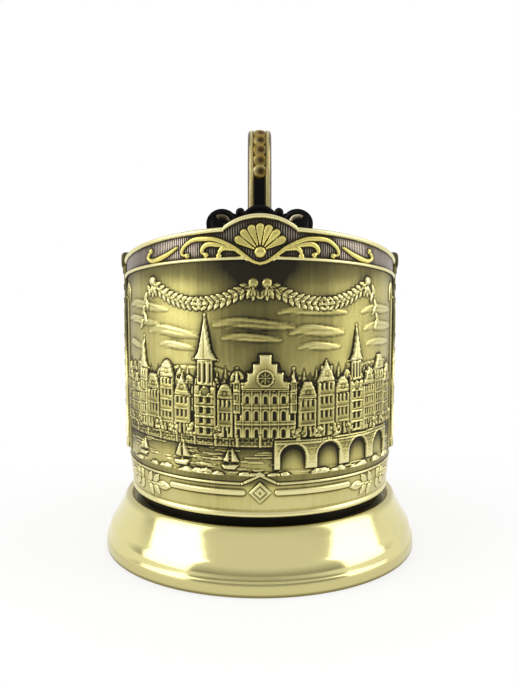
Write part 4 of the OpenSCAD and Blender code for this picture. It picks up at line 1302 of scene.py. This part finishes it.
# Shares of the reach and of the height that the handle's middle line passes through.
HANDLE_SHARES = ((0, .44), (0, .56), (0, .7), (.05, .82), (.14, .92), (.29, .985), (.47, 1), (.7, .965),
                 (.89, .88), (.99, .76), (1, .62), (.95, .48), (.83, .35), (.64, .25), (.4, .185),
                 (.17, .145), (.04, .1), (0, .05), (0, 0))
HANDLE_IN, HANDLE_RUN, HANDLE_LOW, HANDLE_RISE = 41.0, 22.2, 24.64, 91.06
HANDLE_SIDES, SKIN = 216, 0.0001
SCALES_OUT, FIRST_SCALE_SHARE = 1.86, 0.244
HEART_X, HEART_Y, HEART_DENT = 0.2, 0.04, 0.26


def handle_line(out=0.0):
    """Middle line of the handle, or a line that lies out by so much on its outer side."""
    points = curve([(HANDLE_IN + HANDLE_RUN * a, HANDLE_LOW + HANDLE_RISE * b) for a, b in HANDLE_SHARES], 6)
    line = []
    for p, before, after in zip(points, points[:1] + points, points[1:] + points[-1:]):
        dy, dz = (after - before) / np.hypot(*(after - before))
        line.append((0.0, p[0] - out * dz, p[1] + out * dy, 1.0))
    return line


def handle_piece():
    """Bar with a rounded moulding along each edge and a channel between them."""
    s = sizes()
    shape = Shape("Handle section", Width=s.handle_width, Thickness=s.handle_depth - SKIN, Channel=0.0009,
                  Floor=0.00135, Wall=0.0010, Material=handle_metal())
    given = shape.given
    turn = shape.add("GeometryNodeInputIndex") * (2 * pi / HANDLE_SIDES)

    def swollen(kind, power):
        value = turn.math(kind)
        return value.absolute() ** power * value.math("SIGN")

    x = swollen("COSINE", 0.44) * given["Width"] * 0.5
    dip = given["Channel"] * (1 - x.absolute().step(given["Floor"], given["Floor"] + given["Wall"]))
    y = swollen("SINE", 0.42) * (given["Thickness"] * 0.5 - dip)
    ring = shape.moved(shape.ring(HANDLE_SIDES), Position=shape.vector(x, y, 0.0))
    shape.piece("Handle", [handle_line()], shape.bar(shape.line(), ring), ("handle",), "handle_brass")


def scales_piece():
    """Round scales in the outer channel, each over the last, with a hollow heart."""
    line = handle_line(SCALES_OUT)
    run = float(sum(np.hypot(b[1] - a[1], b[2] - a[2]) for a, b in zip(line, line[1:])))
    shape = Shape("Scales along a path", Count=16, First=FIRST_SCALE_SHARE * run * MM, Pitch=0.0036,
                  Radius=0.00236, Rise=0.0009, Lean=radians(9), Material=scale_metal())
    given = shape.given
    last = given["First"] + given["Pitch"] * (given["Count"] - 1)
    path = shape.add("GeometryNodeTrimCurve", {"mode": "LENGTH"},
                     {"Curve": shape.line(), 4: given["First"], 5: last})
    spots = shape.add("GeometryNodeCurveToPoints", {"mode": "COUNT"},
                      {"Curve": path, "Count": given["Count"]}, out="Points")
    tangent = spots.beside("Tangent")
    outward = shape.add("ShaderNodeVectorMath", {"operation": "CROSS_PRODUCT"},
                        {0: (1.0, 0.0, 0.0), 1: tangent})
    turn = shape.add("FunctionNodeAlignRotationToVector", {"axis": "Z"}, {"Vector": outward})
    turn = shape.add("FunctionNodeAlignRotationToVector", {"axis": "Y", "pivot_axis": "Z"},
                     {"Rotation": turn, "Vector": tangent})
    place = shape.add("GeometryNodeInputPosition")
    off, up = place.part(0) - HEART_X, place.part(1) - HEART_Y
    heart = 1 - (off * off + up * up).math("SQRT").step(0.1, 0.9)
    dome = shape.add("GeometryNodeStoreNamedAttribute", {"data_type": "FLOAT", "domain": "POINT"},
                     {"Geometry": shape.ball(40, 24, 1.0), "Name": "heart", "Value": heart})
    dome = shape.moved(dome, Offset=shape.vector(0.0, 0.0, heart * -HEART_DENT))
    dome = shape.add("GeometryNodeTransform", None, {
        "Geometry": dome, "Scale": shape.vector(given["Radius"], given["Radius"], given["Rise"]),
        "Rotation": shape.vector(given["Lean"], 0.0, 0.0)})
    scales = shape.add("GeometryNodeInstanceOnPoints", None,
                       {"Points": spots, "Instance": dome, "Rotation": turn})
    shape.piece("Handle_scales", [line], scales, ("handle_scales",), "handle_brass")


# Scroll crest, in millimetres

CREST_RADIUS, CREST_FLAT = 37.2, 0.66
VOLUTE_X, VOLUTE_Z, VOLUTE_R = 11.6, 87.7, 5.2
VOLUTE_START, VOLUTE_TURN, VOLUTE_FALL, VOLUTE_POINTS = 152, 430, 3.3, 90
THIN_END, THICKER = 0.55, 1.1
# Stretch of each volute's inner lip that gets a light line, rubbed brass and painted highlight, and the girth
# of that line.
RUBBED_AND_HIGHLIGHT, RUBBED_AND_HIGHLIGHT_GIRTH = slice(2, 22), 0.2
SCROLL_GIRTH, ARCH_GIRTH = 0.8, 0.3
ARCH_R, ARCH_Z, ARCH_IN = 5.5, 87.8, 0.3
LEG_LOW, LEG_HIGH = 79.2, 83.0
BALL_X = 6.03
# Place and radius of the volute's heart, the ball beside the arch and the one on the under scroll.
CREST_BALLS = ((VOLUTE_X, VOLUTE_Z, 1.0), (BALL_X, 91.55, 1.45), (VOLUTE_X, 82.0, 1.1))
SAG = ((5.4, 80.9), (7.4, 80.3), (11.6, 80.9), (15.0, 83.4))
WEB_LOW, WEB_HALF, WEB_COIL, WEB_THICK = 79.0, 16.4, 4.9, 1.0
# Height of the web's top at distances from its middle.
WEB_X, WEB_Z = (0, BALL_X, 8.5, VOLUTE_X, WEB_HALF), (90.8, 90.8, 91.3, VOLUTE_Z, VOLUTE_Z)


def bent_bars(name, paths, balls, material, replaced):
    """Round bars and balls swept in a plane, squashed, then bent round the back of the rim."""
    shape = Shape(name, Flat=CREST_FLAT, Bend=CREST_RADIUS * MM, Material=material, Sides=20)
    given = shape.given
    alone = shape.add("FunctionNodeCompare", {"data_type": "INT", "operation": "EQUAL"},
                      {2: shape.add("GeometryNodeInputMeshVertexNeighbors"), 3: 0})
    spots = shape.add("GeometryNodeMeshToPoints", None, {"Mesh": given["Geometry"], "Selection": alone})
    round_balls = shape.add("GeometryNodeInstanceOnPoints", None,
                            {"Points": spots, "Instance": shape.ball(32, 20, MM), "Scale": shape.girth()})
    joined = shape.add("GeometryNodeJoinGeometry", None, {0: [shape.round_bars(), round_balls]})
    whole = shape.add("GeometryNodeRealizeInstances", None, {0: joined})
    x, y, z = (shape.add("GeometryNodeInputPosition").part(k) for k in range(3))
    depth = given["Bend"] + y * given["Flat"]
    angle = x.math("DIVIDE", given["Bend"]).math("ARCSINE")
    bent = shape.vector(depth * angle.math("SINE"), depth * angle.math("COSINE"), z)
    whole = shape.moved(whole, Position=bent)
    lines = [[(x, 0.0, z, g) for x, z, g in path] for path in paths + [[ball] for ball in balls]]
    shape.piece(name, lines, whole, replaced, "black_paint")


def crest_piece():
    """A pair of fat volutes, two balls and an arch between them, on a web behind the back rim."""
    bars, edges, balls = [], [], []
    for hand in (-1, 1):
        spiral, lip = [], []
        for t in np.linspace(0, 1, VOLUTE_POINTS):
            girth = THIN_END + THICKER * (1 - t) ** 2.4
            reach = VOLUTE_R - 0.1 - VOLUTE_FALL * float(smoothstep(0.22, 1, t)) - girth
            a = radians(VOLUTE_START - VOLUTE_TURN * t)
            for line, r, g in ((spiral, reach, girth), (lip, reach - girth * 0.93, RUBBED_AND_HIGHLIGHT_GIRTH)):
                line.append((hand * (VOLUTE_X + r * cos(a)), VOLUTE_Z + r * sin(a), g))
        # A light line along part of the inner lip: rubbed brass with a painted highlight.
        edges.append(lip[RUBBED_AND_HIGHLIGHT])
        bars += [spiral, [(x, z, SCROLL_GIRTH) for x, z in curve([(hand * x, z) for x, z in SAG], 6)]]
        balls += [(hand * x, z, r) for x, z, r in CREST_BALLS]
    leg = ARCH_R - ARCH_IN
    legs = [(-leg, LEG_LOW), (-leg, LEG_HIGH)] + arc(0, ARCH_Z, leg, 180, 0, 40)
    legs += [(leg, LEG_HIGH), (leg, LEG_LOW)]
    bars.append([(x, z, ARCH_GIRTH) for x, z in legs])
    bent_bars("Scroll_crest", bars, balls, black_and_shade_metal(), ("scroll_crest",))
    bent_bars("Crest_edges", edges, [], rubbed_and_highlight_metal(), ())
    web_piece()


def web_piece():
    """The plate between the scrolls, its top following volutes, balls and arch."""
    def coil(x):
        return sqrt(max(WEB_COIL ** 2 - (x - VOLUTE_X) ** 2, 0))

    def top(x):
        flank = np.interp(x, WEB_X, WEB_Z)
        leg = ARCH_R - ARCH_IN
        bow = ARCH_Z + sqrt(leg ** 2 - x * x) if x < leg else 0
        return max(flank, bow, VOLUTE_Z + coil(x))

    def low(x):
        return WEB_LOW if x < VOLUTE_X else VOLUTE_Z - coil(x)

    cols, rows = 120, 12
    verts, faces = [], []
    for radius in (CREST_RADIUS + WEB_THICK / 2, CREST_RADIUS - WEB_THICK / 2):
        for x in np.linspace(-WEB_HALF, WEB_HALF, cols + 1):
            for z in np.linspace(low(abs(x)), top(abs(x)), rows + 1):
                verts.append(tuple(MM * v for v in on_cylinder(pi, x, z, radius)))
    up, layer = rows + 1, (cols + 1) * (rows + 1)

    def strip(a, b, over):
        """A face between two points and the points that lie over them."""
        faces.append((a, b, b + over, a + over))

    for face in (0, layer):
        for j in range(cols):
            for k in range(rows):
                strip(face + j * up + k, face + j * up + k + 1, up)
    for j in range(cols):
        for k in (0, rows):
            strip(j * up + k, (j + 1) * up + k, layer)
    for j in (0, cols):
        for k in range(rows):
            strip(j * up + k, j * up + k + 1, layer)
    dress("Crest_web", built_mesh("Crest_web", verts, faces, crease=40), black_and_shade_metal(), ())


# Foot

FOOT_IN = (0.03, 0, 0, 0.01, 0.03, 0.05, 0.066, 0.1, 0.16, 0.24, 0.36, 0.48, 0.57, 0.63, 0.69, 0.76, 0.86, 1)
FOOT_UP = (0, 0.03, 0.14, 0.2, 0.25, 0.262, 0.3, 0.4, 0.5, 0.58, 0.71, 0.86, 0.99, 1.05, 1.07, 1.065, 1.04, 1)
LEDGE_IN, SKIRT_WALL, HEM_WALL, HEM_TOP, TURNS = 28.0, 1.0, 3, 4.4, 240


def foot_piece():
    """Spun skirt with a rounded shoulder, a rolled hem and a ledge under the neck."""
    s = sizes()
    big, neck, rise = mm(s.foot_radius), mm(s.neck_radius), mm(s.foot_height)
    out = curve([(big - (big - neck) * a, rise * b) for a, b in zip(FOOT_IN, FOOT_UP)], 5)
    outside = [(min(x, big), max(z, 0.0)) for x, z in out]
    inside = [(x - 0.8, z - SKIRT_WALL) for x, z in reversed(outside) if z > HEM_TOP]
    section = outside + [(LEDGE_IN, rise), (LEDGE_IN, rise - SKIRT_WALL)] + inside + \
        [(big - SKIRT_WALL, 1), (big - HEM_WALL, 1), (big - HEM_WALL, 0)]
    around = np.arange(TURNS) * 2 * pi / TURNS
    verts = [(r * sin(a) * MM, -r * cos(a) * MM, z * MM) for r, z in section for a in around]
    rings = [(k * TURNS, (k + 1) % len(section) * TURNS) for k in range(len(section))]
    faces = [(a + j, a + (j + 1) % TURNS, b + (j + 1) % TURNS, b + j) for a, b in rings for j in range(TURNS)]
    dress("Foot", built_mesh("Foot", verts, faces, crease=38), foot_brass(), ("foot",))


# Stage

CAMERA_PLACE, LOOKING_DOWN, LENS, SENSOR, CLIP_START = (-0.0005, -0.225, 0.0806), 6.65, 43.25, 36.0, 0.01
# Azimuth, elevation, distance, width, height and watts of each lamp.
SOFTBOXES = {"Left_softbox": (-70, 18, 0.8, 0.6, 0.9, 4.2), "Right_softbox": (80, 18, 0.8, 0.56, 0.9, 3.6)}
LAMP_AIM = Vector((0, 0, 0.05))


def make_camera():
    data = bpy.data.cameras.new("Camera")
    data.sensor_width, data.lens, data.clip_start = SENSOR, LENS, CLIP_START
    camera = linked("Camera", data)
    camera.location = CAMERA_PLACE
    camera.rotation_euler = (radians(90 - LOOKING_DOWN), 0, 0)
    bpy.context.scene.camera = camera


def make_lamp(name, azimuth, elevation, distance, wide, high, watts):
    data = bpy.data.lights.new(name, "AREA")
    data.shape, data.size, data.size_y, data.energy = "RECTANGLE", wide, high, watts
    lamp = linked(name, data)
    a, e = radians(azimuth), radians(elevation)
    place = Vector((sin(a) * cos(e), -cos(a) * cos(e), sin(e))) * distance
    lamp.location = place + LAMP_AIM
    lamp.rotation_euler = (-place).to_track_quat("-Z", "Y").to_euler()
    lamp.visible_camera = False


def make_world():
    """White to the camera; for the rest of the light bright behind and above, dimmer in front."""
    world = bpy.data.worlds.new("Studio")
    bpy.context.scene.world = world
    world.use_nodes = True
    world.node_tree.nodes.clear()
    n = Nodes(world.node_tree)
    place = n.add("ShaderNodeTexCoord", out=0)
    behind = place.part(1).step(0.05, 0.5)
    level = (behind * 0.5 + place.part(2).step(0.0, 0.5) * 0.46 + 0.33).math("MINIMUM", 1.0)
    camera = n.add("ShaderNodeLightPath", out="Is Camera Ray")
    mirrored = camera.beside("Is Glossy Ray") + camera.beside("Is Transmission Ray")
    seen = (camera + mirrored * behind).math("MINIMUM", 1.0)
    n.end("ShaderNodeOutputWorld", n.add("ShaderNodeBackground", None, {
        "Color": (1, 1, 1, 1), "Strength": level + seen * (1 - level)}))


def make_floor():
    mesh = bpy.data.meshes.new("Floor")
    work = bmesh.new()
    bmesh.ops.create_grid(work, x_segments=20, y_segments=20, size=3.0)
    work.to_mesh(mesh)
    work.free()
    mesh.materials.append(floor_pale())
    linked("Floor", mesh)


# Operators


def give(material, *nodes):
    """Puts a better material on CAD nodes that stay."""
    for node in nodes:
        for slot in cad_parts[node].material_slots:
            slot.material = material


class HOLDER_OT_stage(bpy.types.Operator):
    """Camera, lamps, world and floor"""
    bl_idname = "holder.stage"
    bl_label = "Stage"

    def execute(self, context):
        context.scene.view_settings.view_transform = "Standard"
        make_camera()
        make_world()
        for name, settings in SOFTBOXES.items():
            make_lamp(name, *settings)
        make_floor()
        return {"FINISHED"}


class HOLDER_OT_foot(bpy.types.Operator):
    """Spun foot with its neck"""
    bl_idname = "holder.foot"
    bl_label = "Foot"

    def execute(self, context):
        foot_piece()
        # The neck ring's black is painted shade for the dark gap under the sleeve.
        give(black_and_shade_metal(), "neck_ring")
        give(rivet_metal(), "floor_rivets")
        return {"FINISHED"}


class HOLDER_OT_wall(bpy.types.Operator):
    """Relief picture round the sleeve"""
    bl_idname = "holder.wall"
    bl_label = "Relief wall"

    def execute(self, context):
        wall_piece("Relief_front", 0.0, 430, 215, draw_front, ("front_relief",))
        wall_piece("Relief_back", pi, 400, 190, draw_back, ("back_relief",))
        give(bore_metal(), "sleeve", "floor_plate")
        return {"FINISHED"}


class HOLDER_OT_border(bpy.types.Operator):
    """Lower border with its bead"""
    bl_idname = "holder.border"
    bl_label = "Lower border"

    def execute(self, context):
        hidden = ("lower_bead", "border_bars", "border_lozenges", "border_leaves")
        border_piece("Border_front", 0.0, hidden)
        border_piece("Border_back", pi, hidden)
        return {"FINISHED"}


class HOLDER_OT_band(bpy.types.Operator):
    """Rim band with its shell, scrolls and beads"""
    bl_idname = "holder.band"
    bl_label = "Rim band"

    def execute(self, context):
        beads = ("rim_band", "rim_bead", "band_bead")
        band_piece("Band_front", 0.0, beads + ("shell_palmette", "front_scrolls"))
        band_piece("Band_back", pi, beads + ("back_scrolls",))
        return {"FINISHED"}


class HOLDER_OT_panels(bpy.types.Operator):
    """Straps over the sides, with curls on top"""
    bl_idname = "holder.panels"
    bl_label = "Side panels"

    def execute(self, context):
        panel_piece("Side_panel_right", SIDE, ("side_panel_right",))
        panel_piece("Side_panel_left", -SIDE, ("side_panel_left",))
        return {"FINISHED"}


class HOLDER_OT_handle(bpy.types.Operator):
    """Looped handle with its scales, plate and rivets"""
    bl_idname = "holder.handle"
    bl_label = "Handle"

    def execute(self, context):
        handle_piece()
        scales_piece()
        give(rivet_metal(), "handle_plate", "upper_rivets", "lower_rivets")
        return {"FINISHED"}


class HOLDER_OT_crest(bpy.types.Operator):
    """Black scrolls behind the back rim"""
    bl_idname = "holder.crest"
    bl_label = "Scroll crest"

    def execute(self, context):
        crest_piece()
        return {"FINISHED"}


PIECES = (HOLDER_OT_stage, HOLDER_OT_foot, HOLDER_OT_wall, HOLDER_OT_border, HOLDER_OT_band, HOLDER_OT_panels,
          HOLDER_OT_handle, HOLDER_OT_crest)


class HOLDER_PT_panel(bpy.types.Panel):
    """Sizes, colours and pieces of the holder"""
    bl_idname = "HOLDER_PT_panel"
    bl_label = "Tea Glass Holder"
    bl_space_type = "VIEW_3D"
    bl_region_type = "UI"
    bl_category = "Tea Glass Holder"

    def draw(self, context):
        for settings in (context.scene.holder_sizes, context.scene.holder_colours):
            box = self.layout.box()
            for key in type(settings).__annotations__:
                box.prop(settings, key)
        for piece in PIECES:
            self.layout.operator(piece.bl_idname)


CLASSES = (HolderSizes, HolderColours) + PIECES + (HOLDER_PT_panel,)


def register():
    for cls in CLASSES:
        bpy.utils.register_class(cls)
    bpy.types.Scene.holder_sizes = bpy.props.PointerProperty(type=HolderSizes)
    bpy.types.Scene.holder_colours = bpy.props.PointerProperty(type=HolderColours)


def unregister():
    del bpy.types.Scene.holder_colours
    del bpy.types.Scene.holder_sizes
    for cls in reversed(CLASSES):
        bpy.utils.unregister_class(cls)


def main():
    register()
    for name in ("stage", "foot", "wall", "border", "band", "panels", "handle", "crest"):
        getattr(bpy.ops.holder, name)()


if __name__ == "__main__":
    main()
